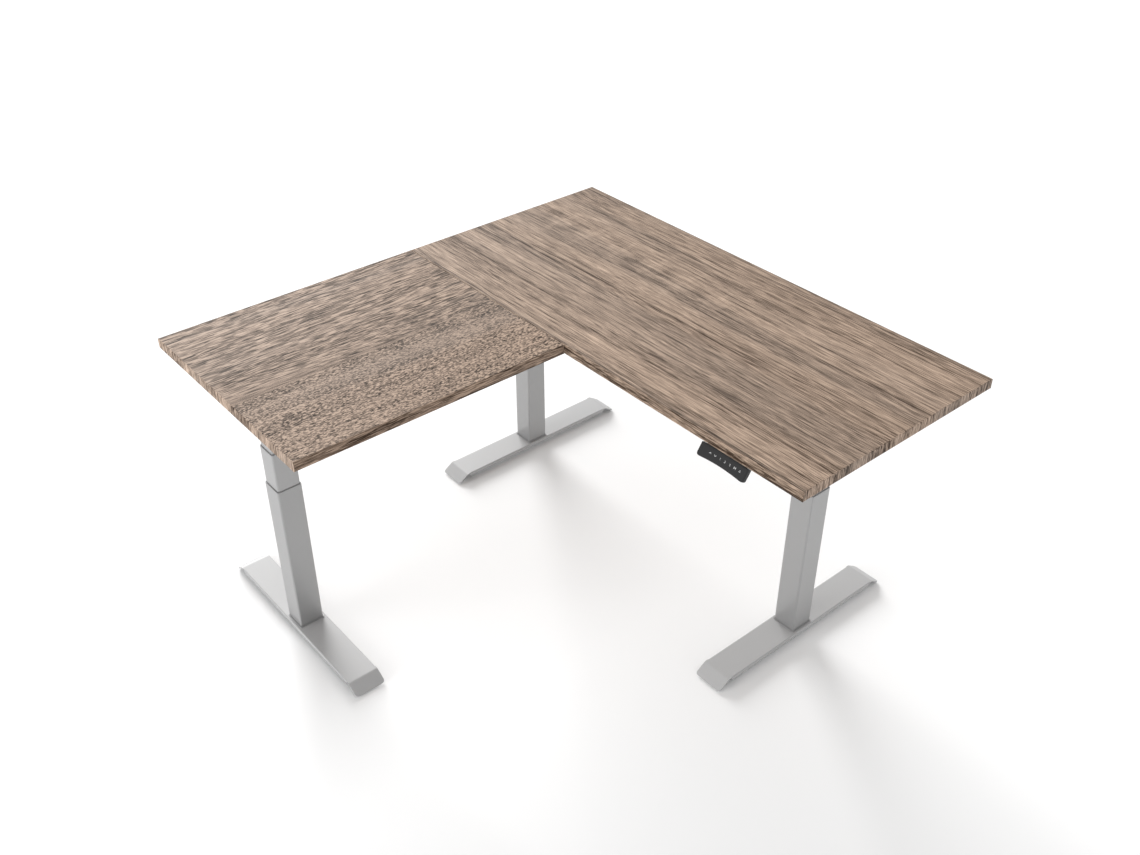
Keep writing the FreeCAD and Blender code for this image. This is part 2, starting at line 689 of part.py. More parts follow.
MAIN_RAIL = "(top_length - corner_inset - right_inset + 2 * rail_overhang)"
RETURN_START = f"({BACK} - leg_setback - rail_spread - rail_width / 2 - bracket_sheet)"
for label, side in (("main_rail_back", "+"), ("main_rail_front", "-")):
    rail(label, MAIN_RAIL, f"{LEFT} + corner_inset - rail_overhang",
         f"{BACK} - leg_setback {side} rail_spread", 0)
for label, side in (("return_rail_left", "-"), ("return_rail_right", "+")):
    rail(label, f"{RETURN_START} + {BACK} - return_inset + rail_overhang",
         f"{LEFT} + return_offset {side} rail_spread", RETURN_START, -90)


def return_bracket():
    """A steel angle that bolts the return's rails to the main front rail."""
    body = new_body("return_bracket")
    profile = new_sketch(body, "YZ_Plane", "return_bracket_profile")
    low = f"({ARM_BOTTOM} - rail_height - bracket_sheet)"
    face = f"({RETURN_START} + bracket_sheet)"
    add_polygon(profile, [(face, low), (face, f"{ARM_BOTTOM} - 2"),
                          (RETURN_START, f"{ARM_BOTTOM} - 2"),
                          (RETURN_START, f"{low} + bracket_sheet"),
                          (f"{face} - bracket_depth", f"{low} + bracket_sheet"),
                          (f"{face} - bracket_depth", low)])
    add_pad(body, profile, "bracket_width", symmetric=True)
    holes = new_sketch(body, "XY_Plane", "return_bracket_holes")
    for side in (-1, 1):
        for step in (20, 45):
            add_circle(holes, "bolt_radius + 0.3", f"{side} * rail_spread",
                       f"{RETURN_START} - {step}")
    add_pocket(body, holes)
    wall_holes = new_sketch(body, "XZ_Plane", "return_bracket_wall_holes")
    for side in "-+":
        add_circle(wall_holes, "bolt_radius + 0.3", f"0 {side} bracket_width / 6",
                   f"{ARM_BOTTOM} - rail_height / 2")
    add_pocket(body, wall_holes)
    place(body, f"{LEFT} + return_offset", "0")
    return node(body, "return_bracket")


def seam_plate(name, side):
    """A flat plate screwed across the seam under both tops."""
    x = f"{LEFT} + return_offset {side} seam_plate_spread"
    y = f"{SEAM} - seam_gap / 2"
    z = f"{UNDERSIDE} - seam_plate_sheet"
    plate = box(f"{name}_plate", "seam_plate_width", "seam_plate_length", "seam_plate_sheet", x, y, z)
    holes = []
    for number, (across, along) in enumerate(four_ways(1, 1)):
        holes.append(rod(f"{name}_hole_{number}", "wood_screw_radius + 0.4", "seam_plate_sheet",
                         f"{x} + ({across}) * (seam_plate_width / 2 - 15)",
                         f"{y} + ({along}) * (seam_plate_length / 2 - 20)", z))
    return cut(name, plate, holes)


return_bracket()
plates = doc.addObject("Part::Compound", "seam_plates")
plates.Links = [seam_plate("seam_plate_left", "-"), seam_plate("seam_plate_right", "+")]
node(plates, "seam_plates")


# ---------------------------------------------------------------- control box
CONTROL_X = f"({LEFT} + control_place)"
CONTROL_Y = f"({BACK} - control_setback)"
COVER_BOTTOM = f"({UNDERSIDE} - case_wall)"
CASE_BOTTOM = f"({UNDERSIDE} - case_wall - case_height)"
SOCKET_MIDDLE = f"({UNDERSIDE} - case_wall - case_height / 2)"
CASE_BACK = f"({CONTROL_Y} + case_depth / 2)"


def control_case():
    """A tray, open upwards under its cover, with a window for each socket."""
    tray = box("case_block", "case_length", "case_depth", "case_height",
               CONTROL_X, CONTROL_Y, CASE_BOTTOM)
    tools = [box("case_hollow", "case_length - 2 * case_wall", "case_depth - 2 * case_wall",
                 "case_height", CONTROL_X, CONTROL_Y, f"{CASE_BOTTOM} + case_wall")]
    for number, (along, width, height) in enumerate(SOCKETS):
        tools.append(box(f"case_window_{number}", width, "4 * case_wall", height,
                         f"{CONTROL_X} + ({along})", CASE_BACK, f"{SOCKET_MIDDLE} - {height} / 2"))
    return node(cut("control_case", tray, tools), "control_case")


def control_cover():
    """The plate that closes the tray and screws to the top by its two ears."""
    plate = box("cover_plate", "case_length + 2 * cover_ear", "case_depth", "case_wall",
                CONTROL_X, CONTROL_Y, COVER_BOTTOM)
    holes = []
    for number, (across, along) in enumerate(four_ways(1, 1)):
        holes.append(rod(f"cover_hole_{number}", "wood_screw_radius + 0.4", "case_wall",
                         f"{CONTROL_X} + ({across}) * (case_length + cover_ear) / 2",
                         f"{CONTROL_Y} + ({along}) * (case_depth / 2 - 15)", COVER_BOTTOM))
    return node(cut("control_cover", plate, holes), "control_cover")


def control_sockets():
    """The mains inlet, three motor sockets and the handset socket, open at the box's back."""
    cups = []
    for number, (along, width, height) in enumerate(SOCKETS):
        x = f"{CONTROL_X} + ({along})"
        shell = box(f"socket_shell_{number}", width, "socket_depth", height,
                    x, f"{CASE_BACK} - socket_depth / 2", f"{SOCKET_MIDDLE} - {height} / 2")
        recess = box(f"socket_recess_{number}", f"{width} - 2 * socket_wall", "socket_recess",
                     f"{height} - 2 * socket_wall", x, f"{CASE_BACK} - socket_recess / 2",
                     f"{SOCKET_MIDDLE} - {height} / 2 + socket_wall")
        cups.append(cut(f"socket_{number}", shell, [recess]))
    group = doc.addObject("Part::Compound", "control_sockets")
    group.Links = cups
    return node(group, "control_sockets")


control_case()
control_cover()
control_sockets()


# ---------------------------------------------------------------- touch handset
HANDSET_X = "(top_length / 2 - handset_inset)"
HANDSET_Y = f"({SEAM} - handset_reach)"
HANDSET_Z = f"({UNDERSIDE} - handset_drop)"


def tilted_sketch(body, name, forward):
    """A sketch in the handset's sloping face, moved along the face's outward normal."""
    sketch = new_sketch(body, "XZ_Plane", name)
    tilt = FreeCAD.Rotation(Vector(1, 0, 0), -VALUES["handset_tilt"])
    sketch.AttachmentOffset = FreeCAD.Placement(Vector(0, 0, 0), tilt)
    bind(sketch, "AttachmentOffset.Base.y", f"({forward}) * sin(handset_tilt * 1 deg)")
    bind(sketch, "AttachmentOffset.Base.z", f"({forward}) * cos(handset_tilt * 1 deg)")
    return sketch


def handset_outline(body, name, forward, inset, thickness):
    """The face's outline as a slab: rounded lower corners and a concave lower edge."""
    outline = tilted_sketch(body, name, forward)
    half = f"(handset_width / 2 - {inset})"
    add_polygon(outline, [(f"-{half}", inset), (half, inset), (half, f"handset_height - {inset}"),
                          (f"-{half}", f"handset_height - {inset}")])
    slab_pad = add_pad(body, outline, thickness)
    low = VALUES["handset_height"] / 2
    rounded = add_fillet(body, slab_pad, "handset_radius",
                         lambda middle, along, length: abs(along.x) < 0.01
                         and length < VALUES["handset_thickness"] + 0.01 and middle.z < low / 2)
    hollow = tilted_sketch(body, f"{name}_hollow", forward)
    radius = "((handset_width / 2 - handset_radius)^2 / handset_hollow / 2 + handset_hollow / 2)"
    add_circle(hollow, radius, "0", f"{inset} + handset_hollow - {radius}")
    add_pocket(body, hollow)
    return rounded


def handset_body():
    """The handset's shell and the tab that screws it under the main top."""
    body = new_body("handset_body")
    handset_outline(body, "handset_face", "-handset_thickness", "0", "handset_thickness")
    tab = new_sketch(body, "YZ_Plane", "handset_tab")
    back = "(handset_reach + tab_depth)"
    add_polygon(tab, [("handset_reach", "handset_drop"), ("handset_reach + 1", "handset_drop - 9"),
                      ("handset_reach + 7", "handset_drop - 16"),
                      ("handset_reach + 17", "handset_drop - tab_thickness"),
                      (back, "handset_drop - tab_thickness"), (back, "handset_drop")])
    add_pad(body, tab, "handset_width - 30", symmetric=True)
    holes = new_sketch(body, "XY_Plane", "handset_holes")
    for side in "-+":
        add_circle(holes, "wood_screw_radius + 0.4", f"0 {side} handset_width / 4", f"{back} - 12")
    add_pocket(body, holes)
    place(body, HANDSET_X, HANDSET_Y, HANDSET_Z)
    return node(body, "handset_body")


def handset_panel():
    """The flat touch panel on the handset's face."""
    body = new_body("handset_panel")
    handset_outline(body, "panel_face", "0", "panel_inset", "panel_thickness")
    place(body, HANDSET_X, HANDSET_Y, HANDSET_Z)
    return node(body, "handset_panel")


handset_body()
handset_panel()


# ---------------------------------------------------------------- legs, from the foot up
for leg in LEGS:
    foot(leg)
    for end, side in LEVELLERS[leg[0]]:
        leveller(leg, end, side)
    foot_bolts(leg)
    outer_tube(leg)
    collar(leg, "outer", "outer_side", "middle_side", "outer_top")
    base_screw(leg)
    middle_tube(leg)
    collar(leg, "middle", "middle_side", "inner_side", "middle_top")
    screw_tube(leg)
    inner_tube(leg)
    drive_tube(leg)
    drive_housing(leg)
    drive_motor(leg)
    arm(leg)


# ---------------------------------------------------------------- screws and bolts
def wood_screws():
    """Pan-head screws from below into both tops, through every plate that has holes."""
    size = VALUES
    screw = fastener(size["wood_screw_head"], 3, size["wood_screw_radius"],
                     size["wood_screw_length"], True)
    under = size["top_height"] - size["top_thickness"]
    left = -size["top_length"] / 2
    back = (size["top_depth"] + size["return_length"]) / 2
    seam = (size["return_length"] - size["top_depth"]) / 2
    points = []
    for leg in LEGS:
        for along, across in ARM_SCREWS:
            for point in leg_points(leg, four_ways(along, across)):
                points.append(point + Vector(0, 0, under - size["arm_plate"]))
    for side in (-1, 1):
        x = left + size["return_offset"] + side * size["seam_plate_spread"]
        for u, v in four_ways(size["seam_plate_width"] / 2 - 15, size["seam_plate_length"] / 2 - 20):
            points.append(Vector(x + u, seam - size["seam_gap"] / 2 + v,
                                 under - size["seam_plate_sheet"]))
        points.append(Vector(size["top_length"] / 2 - size["handset_inset"]
                             + side * size["handset_width"] / 4,
                             seam + size["tab_depth"] - 12, under - size["tab_thickness"]))
    for u, v in four_ways((size["case_length"] + size["cover_ear"]) / 2, size["case_depth"] / 2 - 15):
        points.append(Vector(left + size["control_place"] + u, back - size["control_setback"] + v,
                             under - size["case_wall"]))
    return fastener_group("wood_screws", [screw.translated(point) for point in points])


def frame_bolts():
    """Thread-forming bolts: arms to rails and gearboxes, and the angle to all its rails."""
    size = VALUES
    down = fastener(size["bolt_head"], size["bolt_head_height"], size["bolt_radius"],
                    size["bolt_length"], False)
    up = fastener(size["bolt_head"], size["bolt_head_height"], size["bolt_radius"],
                  size["bolt_length"], True)
    backward = up.rotated(Vector(0, 0, 0), Vector(1, 0, 0), -90)
    under = size["top_height"] - size["top_thickness"]
    low = under - size["arm_plate"] - size["rail_height"] - size["bracket_sheet"]
    solids = []
    for leg in LEGS:
        for along, across in ARM_BOLTS:
            for point in leg_points(leg, four_ways(along, across)):
                solids.append(down.translated(point + Vector(0, 0, under - size["bolt_head_height"])))
    start = ((size["top_depth"] + size["return_length"]) / 2 - size["leg_setback"]
             - size["rail_spread"] - size["rail_width"] / 2 - size["bracket_sheet"])
    middle = size["return_offset"] - size["top_length"] / 2
    for side in (-1, 1):
        for step in (20, 45):
            solids.append(up.translated(Vector(middle + side * size["rail_spread"],
                                               start - step, low)))
        solids.append(backward.translated(Vector(middle + side * size["bracket_width"] / 6, start,
                                                 under - size["arm_plate"] - size["rail_height"] / 2)))
    return fastener_group("frame_bolts", solids)


wood_screws()
frame_bolts()

# ---------------------------------------------------------------- check and write
doc.recompute()
for thing in doc.Objects:
    if "Invalid" in thing.State or "Error" in thing.State:
        raise RuntimeError(f"{thing.Label} failed: {thing.State}")
os.makedirs("parts", exist_ok=True)
for thing in nodes:
    shape = thing.Shape
    if shape.isNull() or not shape.isValid() or not shape.Solids:
        raise RuntimeError(f"{thing.Label} has no valid solid")
    shape.exportStep(f"parts/{thing.Label}.step")
    extent = shape.BoundBox
    print(f"{thing.Label}: {len(shape.Solids)} solid, {shape.Volume / 1000:.1f} cm3, "
          f"z {extent.ZMin:.1f} to {extent.ZMax:.1f}")
print(len(nodes), "sub-parts")
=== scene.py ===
"""Corner sit-stand desk: two wood-grain tops on three telescopic electric columns."""
import math

import bmesh
import bpy
from mathutils import Matrix, Vector


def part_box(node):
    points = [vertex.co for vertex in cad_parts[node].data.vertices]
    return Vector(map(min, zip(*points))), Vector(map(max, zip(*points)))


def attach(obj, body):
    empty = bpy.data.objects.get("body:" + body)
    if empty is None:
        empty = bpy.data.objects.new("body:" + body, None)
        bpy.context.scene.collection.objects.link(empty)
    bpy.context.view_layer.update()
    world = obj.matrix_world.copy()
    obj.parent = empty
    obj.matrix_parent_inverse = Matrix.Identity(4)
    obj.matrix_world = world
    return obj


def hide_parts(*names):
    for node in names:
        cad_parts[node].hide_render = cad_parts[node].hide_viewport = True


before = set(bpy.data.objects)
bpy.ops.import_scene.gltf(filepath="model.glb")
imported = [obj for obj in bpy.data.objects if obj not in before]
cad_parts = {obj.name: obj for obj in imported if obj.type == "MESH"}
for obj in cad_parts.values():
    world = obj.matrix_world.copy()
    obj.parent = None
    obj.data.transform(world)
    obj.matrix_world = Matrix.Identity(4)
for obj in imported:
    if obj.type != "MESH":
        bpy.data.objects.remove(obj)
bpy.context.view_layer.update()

# Feet: each is one strip of 4 mm steel sheet, folded down at both tips and flanged along both
# sides, with two round weld nuts for the levellers. Blasted, then powder coated silver grey; the
# feet's coat is painted lighter than the columns' to stand in for light on the foot tops.
LEGS = ("corner", "right", "return")
FOOT_SHEET = 0.004
HALF_FLAT = 0.300
FLANGE_END = 0.288
FLANGE_DEPTH = 0.012
TIP_HEIGHT = 0.0055
TIP_RADIUS = 0.009
SIDE_BEND = 0.0028
TIP_BEND = 0.004
CUT_EASE = 0.0005
LEVELLER_PLACE = 0.270
WELD_NUT_RADIUS = 0.009
WELD_NUT_BOTTOM = 0.0125
WELD_BEAD = 0.003
WELD_BEAD_HEIGHT = 0.0015


def middle_of(node):
    """The middle of a CAD node's box."""
    low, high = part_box(node)
    return (low + high) / 2


def leg_matrix(leg):
    """Carries a piece drawn with its foot along X and its motor towards +Y to its own leg."""
    axis = middle_of(f"{leg}_outer_tube")
    motor = middle_of(f"{leg}_drive_motor")
    quarter = math.pi / 2
    heading = math.atan2(motor.y - axis.y, motor.x - axis.x)
    turn = round((heading - quarter) / quarter) * quarter
    return Matrix.Translation((axis.x, axis.y, 0)) @ Matrix.Rotation(turn, 4, "Z")


def new_piece(name, shape, material, crease=38, matrix=None):
    """Makes an object of a bmesh, smooth but with every edge sharper than the crease kept crisp."""
    if matrix is not None:
        bmesh.ops.transform(shape, matrix=matrix, verts=shape.verts[:])
    for face in shape.faces:
        face.smooth = True
    mesh = bpy.data.meshes.new(name)
    shape.to_mesh(mesh)
    shape.free()
    mesh.set_sharp_from_angle(angle=math.radians(crease))
    mesh.materials.append(material)
    piece = bpy.data.objects.new(name, mesh)
    bpy.context.scene.collection.objects.link(piece)
    return piece


def even_shading(piece):
    """Lets wide flat faces set the shading of the small rounded edges beside them."""
    shading = piece.modifiers.new("even shading", "WEIGHTED_NORMAL")
    shading.keep_sharp = True


def give_thickness(piece, thickness, edge):
    """Turns a skin into sheet metal: its thickness goes inwards and its cut edges are eased."""
    wall = piece.modifiers.new("thickness", "SOLIDIFY")
    wall.thickness = thickness
    wall.offset = -1
    wall.use_even_offset = True
    ease = piece.modifiers.new("eased edges", "BEVEL")
    ease.width = edge
    ease.segments = 2
    ease.limit_method = "ANGLE"
    ease.angle_limit = math.radians(50)


def bevel_edges(shape, edges, radius, steps):
    """Rounds edges, or eases them when the radius is small."""
    bmesh.ops.bevel(shape, geom=edges, offset=radius, affect="EDGES", segments=steps,
                    profile=0.5, material=-1)


def bevel_corners(shape, corners, radius, steps):
    """Rounds the corners of a flat outline."""
    bmesh.ops.bevel(shape, geom=corners, offset=radius, affect="VERTICES", segments=steps,
                    profile=0.5, material=-1)


def add_rod(shape, radius, low, high, x=0.0, steps=32, ease=0.0):
    """An upright round bar, its end edges eased. Few steps make it a prism."""
    place = Matrix.Translation((x, 0, (low + high) / 2))
    made = bmesh.ops.create_cone(shape, cap_ends=True, segments=steps, radius1=radius,
                                 radius2=radius, depth=high - low, matrix=place)
    if ease:
        rims = {edge for vert in made["verts"] for edge in vert.link_edges
                if abs(edge.verts[0].co.z - edge.verts[1].co.z) < 1e-6}
        bevel_edges(shape, list(rims), ease, 2)
    return made["verts"]


def add_copies(shape, part, places):
    """Adds a copy of a small part at each place and frees the part."""
    mesh = bpy.data.meshes.new("part")
    part.to_mesh(mesh)
    part.free()
    for place in places:
        copy = mesh.copy()
        copy.transform(place)
        shape.from_mesh(copy)
        bpy.data.meshes.remove(copy)
    bpy.data.meshes.remove(mesh)


def turned(count):
    """A full circle of turns about the Z axis."""
    return [Matrix.Rotation(math.tau * step / count, 4, "Z") for step in range(count)]


def link(tree, start, output, end, socket):
    """Joins one shader node's output to another's input."""
    tree.links.new(start.outputs[output], end.inputs[socket])


def add_node(tree, kind, values=None, **settings):
    """A shader node with its input values and its settings."""
    node = tree.nodes.new(kind)
    for name, value in settings.items():
        setattr(node, name, value)
    for socket, value in (values or {}).items():
        node.inputs[socket].default_value = value
    return node


def new_group(name, inputs, outputs):
    """A shader node group. Inputs and outputs are given as name: (kind, default)."""
    group = bpy.data.node_groups.new(name, "ShaderNodeTree")
    for in_out, sockets in (("INPUT", inputs), ("OUTPUT", outputs)):
        for socket, (kind, default) in sockets.items():
            made = group.interface.new_socket(socket, in_out=in_out, socket_type=f"NodeSocket{kind}")
            if default is not None:
                made.default_value = default
    return group, group.nodes.new("NodeGroupInput"), group.nodes.new("NodeGroupOutput")


def coating_group():
    """Sprayed or moulded skin: faint clouds in the colour, fine peel in the height and gloss."""
    group, given, put = new_group(
        "coating",
        {"Vector": ("Vector", None), "Color": ("Color", (0.5, 0.5, 0.5, 1)),
         "Clouding": ("Float", 0.04), "Grain Size": ("Float", 900.0), "Roughness": ("Float", 0.4),
         "Roughness Spread": ("Float", 0.08)},
        {"Color": ("Color", None), "Roughness": ("Float", None), "Height": ("Float", None)})
    clouds = add_node(group, "ShaderNodeTexNoise", {"Scale": 7.0, "Detail": 5.0, "Roughness": 0.6})
    grain = add_node(group, "ShaderNodeTexNoise", {"Detail": 2.0, "Roughness": 0.55})
    link(group, given, "Vector", clouds, "Vector")
    link(group, given, "Vector", grain, "Vector")
    link(group, given, "Grain Size", grain, "Scale")
    centred = add_node(group, "ShaderNodeMath", {1: 0.5}, operation="SUBTRACT")
    link(group, clouds, "Fac", centred, 0)
    speck = add_node(group, "ShaderNodeMath", {1: 0.5}, operation="SUBTRACT")
    link(group, grain, "Fac", speck, 0)
    both = add_node(group, "ShaderNodeMath", operation="ADD")
    link(group, centred, "Value", both, 0)
    link(group, speck, "Value", both, 1)
    amount = add_node(group, "ShaderNodeMath", {2: 1.0}, operation="MULTIPLY_ADD")
    link(group, both, "Value", amount, 0)
    link(group, given, "Clouding", amount, 1)
    tone = add_node(group, "ShaderNodeVectorMath", operation="SCALE")
    link(group, given, "Color", tone, 0)
    link(group, amount, "Value", tone, "Scale")
    gloss = add_node(group, "ShaderNodeMath", operation="MULTIPLY_ADD")
    link(group, centred, "Value", gloss, 0)
    link(group, given, "Roughness Spread", gloss, 1)
    link(group, given, "Roughness", gloss, 2)
    link(group, tone, "Vector", put, "Color")
    link(group, gloss, "Value", put, "Roughness")
    link(group, grain, "Fac", put, "Height")
    return group


COATING = coating_group()


def coated(name, color, roughness, clouding=0.05, grain_size=900.0, spread=0.1, metallic=0.0,
           bump=0.12, depth=0.0002, coat=0.0, specular=0.5):
    """A material with the coating group's colour, gloss and height."""
    material = bpy.data.materials.new(name)
    material.use_nodes = True
    tree = material.node_tree
    shader = tree.nodes["Principled BSDF"]
    shader.inputs["Metallic"].default_value = metallic
    shader.inputs["Coat Weight"].default_value = coat
    shader.inputs["Specular IOR Level"].default_value = specular
    place = add_node(tree, "ShaderNodeTexCoord")
    skin = add_node(tree, "ShaderNodeGroup", node_tree=COATING)
    for socket, value in (("Color", (*color, 1)), ("Clouding", clouding), ("Grain Size", grain_size),
                          ("Roughness", roughness), ("Roughness Spread", spread)):
        skin.inputs[socket].default_value = value
    peel = add_node(tree, "ShaderNodeBump", {"Strength": bump, "Distance": depth})
    link(tree, place, "Object", skin, "Vector")
    link(tree, skin, "Color", shader, "Base Color")
    link(tree, skin, "Roughness", shader, "Roughness")
    link(tree, skin, "Height", peel, "Height")
    link(tree, peel, "Normal", shader, "Normal")
    return material


POWDER_COAT = coated("silver powder coat", (0.365, 0.365, 0.366), 0.31, clouding=0.05,
                     grain_size=1100.0, spread=0.12, metallic=0.45, bump=0.10)
# A lighter, less metallic copy of the column coat: painted light, brightening the foot tops.
FOOT_COAT_PAINTED_LIGHTER = coated("silver foot coat painted lighter", (0.45, 0.45, 0.451), 0.52, clouding=0.05,
                   grain_size=1100.0, spread=0.12, metallic=0.05, bump=0.10)


def foot_skin(half_length, half_width, top):
    """The foot's outer skin: a strip with its tips folded down and a flange along each side."""
    shape = bmesh.new()
    stations = (-half_length, -HALF_FLAT, -FLANGE_END, FLANGE_END, HALF_FLAT, half_length)
    last = len(stations) - 1
    bmesh.ops.create_grid(shape, x_segments=last, y_segments=1, size=0.5)
    for vert in shape.verts:
        column = round((vert.co.x + 0.5) * last)
        height = TIP_HEIGHT if column in (0, last) else top
        vert.co = (stations[column], math.copysign(half_width, vert.co.y), height)
    sides = [edge for edge in shape.edges
             if all(abs(vert.co.x) < FLANGE_END + 1e-5 for vert in edge.verts)
             and abs(edge.verts[0].co.y - edge.verts[1].co.y) < 1e-6]
    bends = list(sides)
    made = bmesh.ops.extrude_edge_only(shape, edges=sides)["geom"]
    lower = [part for part in made if isinstance(part, bmesh.types.BMVert)]
    bmesh.ops.translate(shape, vec=(0, 0, -FLANGE_DEPTH), verts=lower)
    tips = [vert for vert in shape.verts if abs(vert.co.x) > half_length - 1e-5]
    bevel_corners(shape, tips, TIP_RADIUS, 7)
    bevel_corners(shape, lower, FLANGE_DEPTH * 0.45, 4)
    bevel_edges(shape, [edge for edge in bends if edge.is_valid], SIDE_BEND, 4)
    folds = [edge for edge in shape.edges
             if all(abs(abs(vert.co.x) - HALF_FLAT) < 1e-5 for vert in edge.verts)]
    bevel_edges(shape, folds, TIP_BEND, 5)
    return shape


for leg in LEGS:
    low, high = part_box(f"{leg}_foot")
    size = high - low
    skin = foot_skin(max(size.x, size.y) / 2, min(size.x, size.y) / 2, high.z)
    foot = new_piece(f"{leg}_foot_sheet", skin, FOOT_COAT_PAINTED_LIGHTER, matrix=leg_matrix(leg))
    give_thickness(foot, FOOT_SHEET, CUT_EASE)
    even_shading(foot)
    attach(foot, f"{leg}_base")
    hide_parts(f"{leg}_foot")

    nuts = bmesh.new()
    under = high.z - FOOT_SHEET
    for x in (-LEVELLER_PLACE, LEVELLER_PLACE):
        add_rod(nuts, WELD_NUT_RADIUS, WELD_NUT_BOTTOM, under, x, ease=0.0008)
        add_rod(nuts, WELD_NUT_RADIUS + WELD_BEAD, under - WELD_BEAD_HEIGHT, under, x, ease=CUT_EASE)
    nuts = new_piece(f"{leg}_foot_nuts", nuts, FOOT_COAT_PAINTED_LIGHTER, matrix=leg_matrix(leg))
    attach(nuts, f"{leg}_base")

# Levellers: a moulded black pad with a ribbed grip, on a zinc-plated threaded stud that screws
# up into the foot's weld nut.
PAD_RADIUS = 0.015
PAD_HEIGHT = 0.008
PAD_NECK_RADIUS = 0.009
PAD_RIBS = 18
RIB_RADIUS = 0.0009
STUD_RADIUS = 0.004
STUD_ROOT = STUD_RADIUS * 0.86
STUD_PITCH = 0.00125
BLACK_NYLON = coated("black nylon", (0.022, 0.022, 0.023), 0.48, clouding=0.25, grain_size=1600.0,
                     bump=0.25)
ZINC = coated("zinc plate", (0.62, 0.62, 0.60), 0.30, clouding=0.18, grain_size=400.0, spread=0.25,
              metallic=1.0, bump=0.05)


def add_thread(shape, root, crest, pitch, low, high, lead=None, steps=16):
    """A closed helical ridge round the Z axis, rooted a little inside the core.

    The lead is the rise in one turn. It is the pitch unless the thread has more than one start.
    """
    lead = lead or pitch
    inner = root - (crest - root) * 0.3
    foot = pitch * 0.36
    flat = pitch * 0.12
    ridge = [(inner, -foot), (crest, -flat), (crest, flat), (inner, foot)]
    start = low + pitch * 0.4
    corners = [shape.verts.new((across, 0, start + up)) for across, up in ridge]
    face = shape.faces.new(corners)
    turns = (high - low - 0.8 * pitch) / lead
    count = max(4, round(turns * steps))
    bmesh.ops.spin(shape, geom=[face, *face.edges, *face.verts], cent=(0, 0, 0), axis=(0, 0, 1),
                   dvec=(0, 0, turns * lead / count), angle=turns * math.tau, steps=count,
                   use_merge=False, use_duplicate=False)


def leveller_pad():
    """The pad: a round foot with grip ribs round it, and a hexagonal neck for a spanner."""
    shape = bmesh.new()
    add_rod(shape, PAD_RADIUS, 0.0, PAD_HEIGHT * 0.55, steps=48, ease=0.0012)
    add_rod(shape, PAD_NECK_RADIUS, PAD_HEIGHT * 0.5, PAD_HEIGHT, steps=6, ease=0.0006)
    rib = bmesh.new()
    add_rod(rib, RIB_RADIUS, RIB_RADIUS, PAD_HEIGHT * 0.5, PAD_RADIUS - 0.0006, steps=8)
    add_copies(shape, rib, turned(PAD_RIBS))
    return shape


for leg in LEGS:
    for end in ("front", "back", "left", "right"):
        node = f"{leg}_leveller_{end}"
        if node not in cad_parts:
            continue
        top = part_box(node)[1].z
        middle = middle_of(node)
        place = Matrix.Translation((middle.x, middle.y, 0))
        pad = new_piece(f"{node}_pad", leveller_pad(), BLACK_NYLON, matrix=place)
        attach(pad, node)
        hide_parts(node)

        stud = bmesh.new()
        add_rod(stud, STUD_ROOT, PAD_HEIGHT - 0.001, top, ease=0.0004)
        add_thread(stud, STUD_ROOT, STUD_RADIUS, STUD_PITCH, PAD_HEIGHT + 0.0005, top - 0.0006)
        stud = new_piece(f"{node}_stud", stud, ZINC, matrix=place)
        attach(stud, node)

# Foot bolts: four zinc-plated hexagon-socket bolts per leg, put in from below through the foot
# and screwed into the column's base plate.
FOOT_BOLT_PLACE = 0.022
FOOT_BOLT_HEAD = 1.6 * STUD_RADIUS
FOOT_BOLT_HEAD_HEIGHT = 0.005


def add_socket_head(shape, radius, height, seat, points=6, waist=1.0):
    """A round head below its seat. A waist under one makes its socket a cross."""
    outer = seat - height
    verts = add_rod(shape, radius, outer, seat, steps=24)
    end = [face for face in {face for vert in verts for face in vert.link_faces}
           if len(face.verts) == 24 and abs(face.calc_center_median().z - outer) < 1e-6]
    rim = list(end[0].edges)
    bmesh.ops.delete(shape, geom=end, context="FACES_ONLY")
    middle = Vector((0, 0, outer))
    socket = bmesh.ops.create_circle(shape, cap_ends=False, segments=points, radius=radius * 0.5,
                                     matrix=Matrix.Translation(middle))["verts"]
    for vert in socket[1::2]:
        vert.co = middle + (vert.co - middle) * waist
    mouth = list({edge for vert in socket for edge in vert.link_edges})
    bmesh.ops.bridge_loops(shape, edges=rim + mouth)
    walls = bmesh.ops.extrude_edge_only(shape, edges=mouth)["geom"]
    floor = [part for part in walls if isinstance(part, bmesh.types.BMVert)]
    bmesh.ops.translate(shape, vec=(0, 0, height * 0.6), verts=floor)
    bmesh.ops.contextual_create(shape, geom=floor)
    bevel_edges(shape, rim, min(radius, height) * 0.18, 2)


def four_ways(x, y):
    """The four places at this distance either side of the middle, along and across."""
    return [(side * x, end * y) for side in (-1, 1) for end in (-1, 1)]


def finish_normals(shape):
    """Turns every face outwards."""
    bmesh.ops.recalc_face_normals(shape, faces=shape.faces[:])


for leg in LEGS:
    low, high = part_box(f"{leg}_foot_bolts")
    bolt = bmesh.new()
    seat = low.z + FOOT_BOLT_HEAD_HEIGHT
    add_rod(bolt, STUD_RADIUS, seat - 0.001, high.z, steps=24, ease=0.0005)
    add_socket_head(bolt, FOOT_BOLT_HEAD, FOOT_BOLT_HEAD_HEIGHT, seat)
    finish_normals(bolt)
    bolts = bmesh.new()
    add_copies(bolts, bolt, [Matrix.Translation((x, y, 0))
                             for x, y in four_ways(FOOT_BOLT_PLACE, FOOT_BOLT_PLACE)])
    bolts = new_piece(f"{leg}_base_bolts", bolts, ZINC, matrix=leg_matrix(leg))
    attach(bolts, f"{leg}_base")
    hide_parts(f"{leg}_foot_bolts")

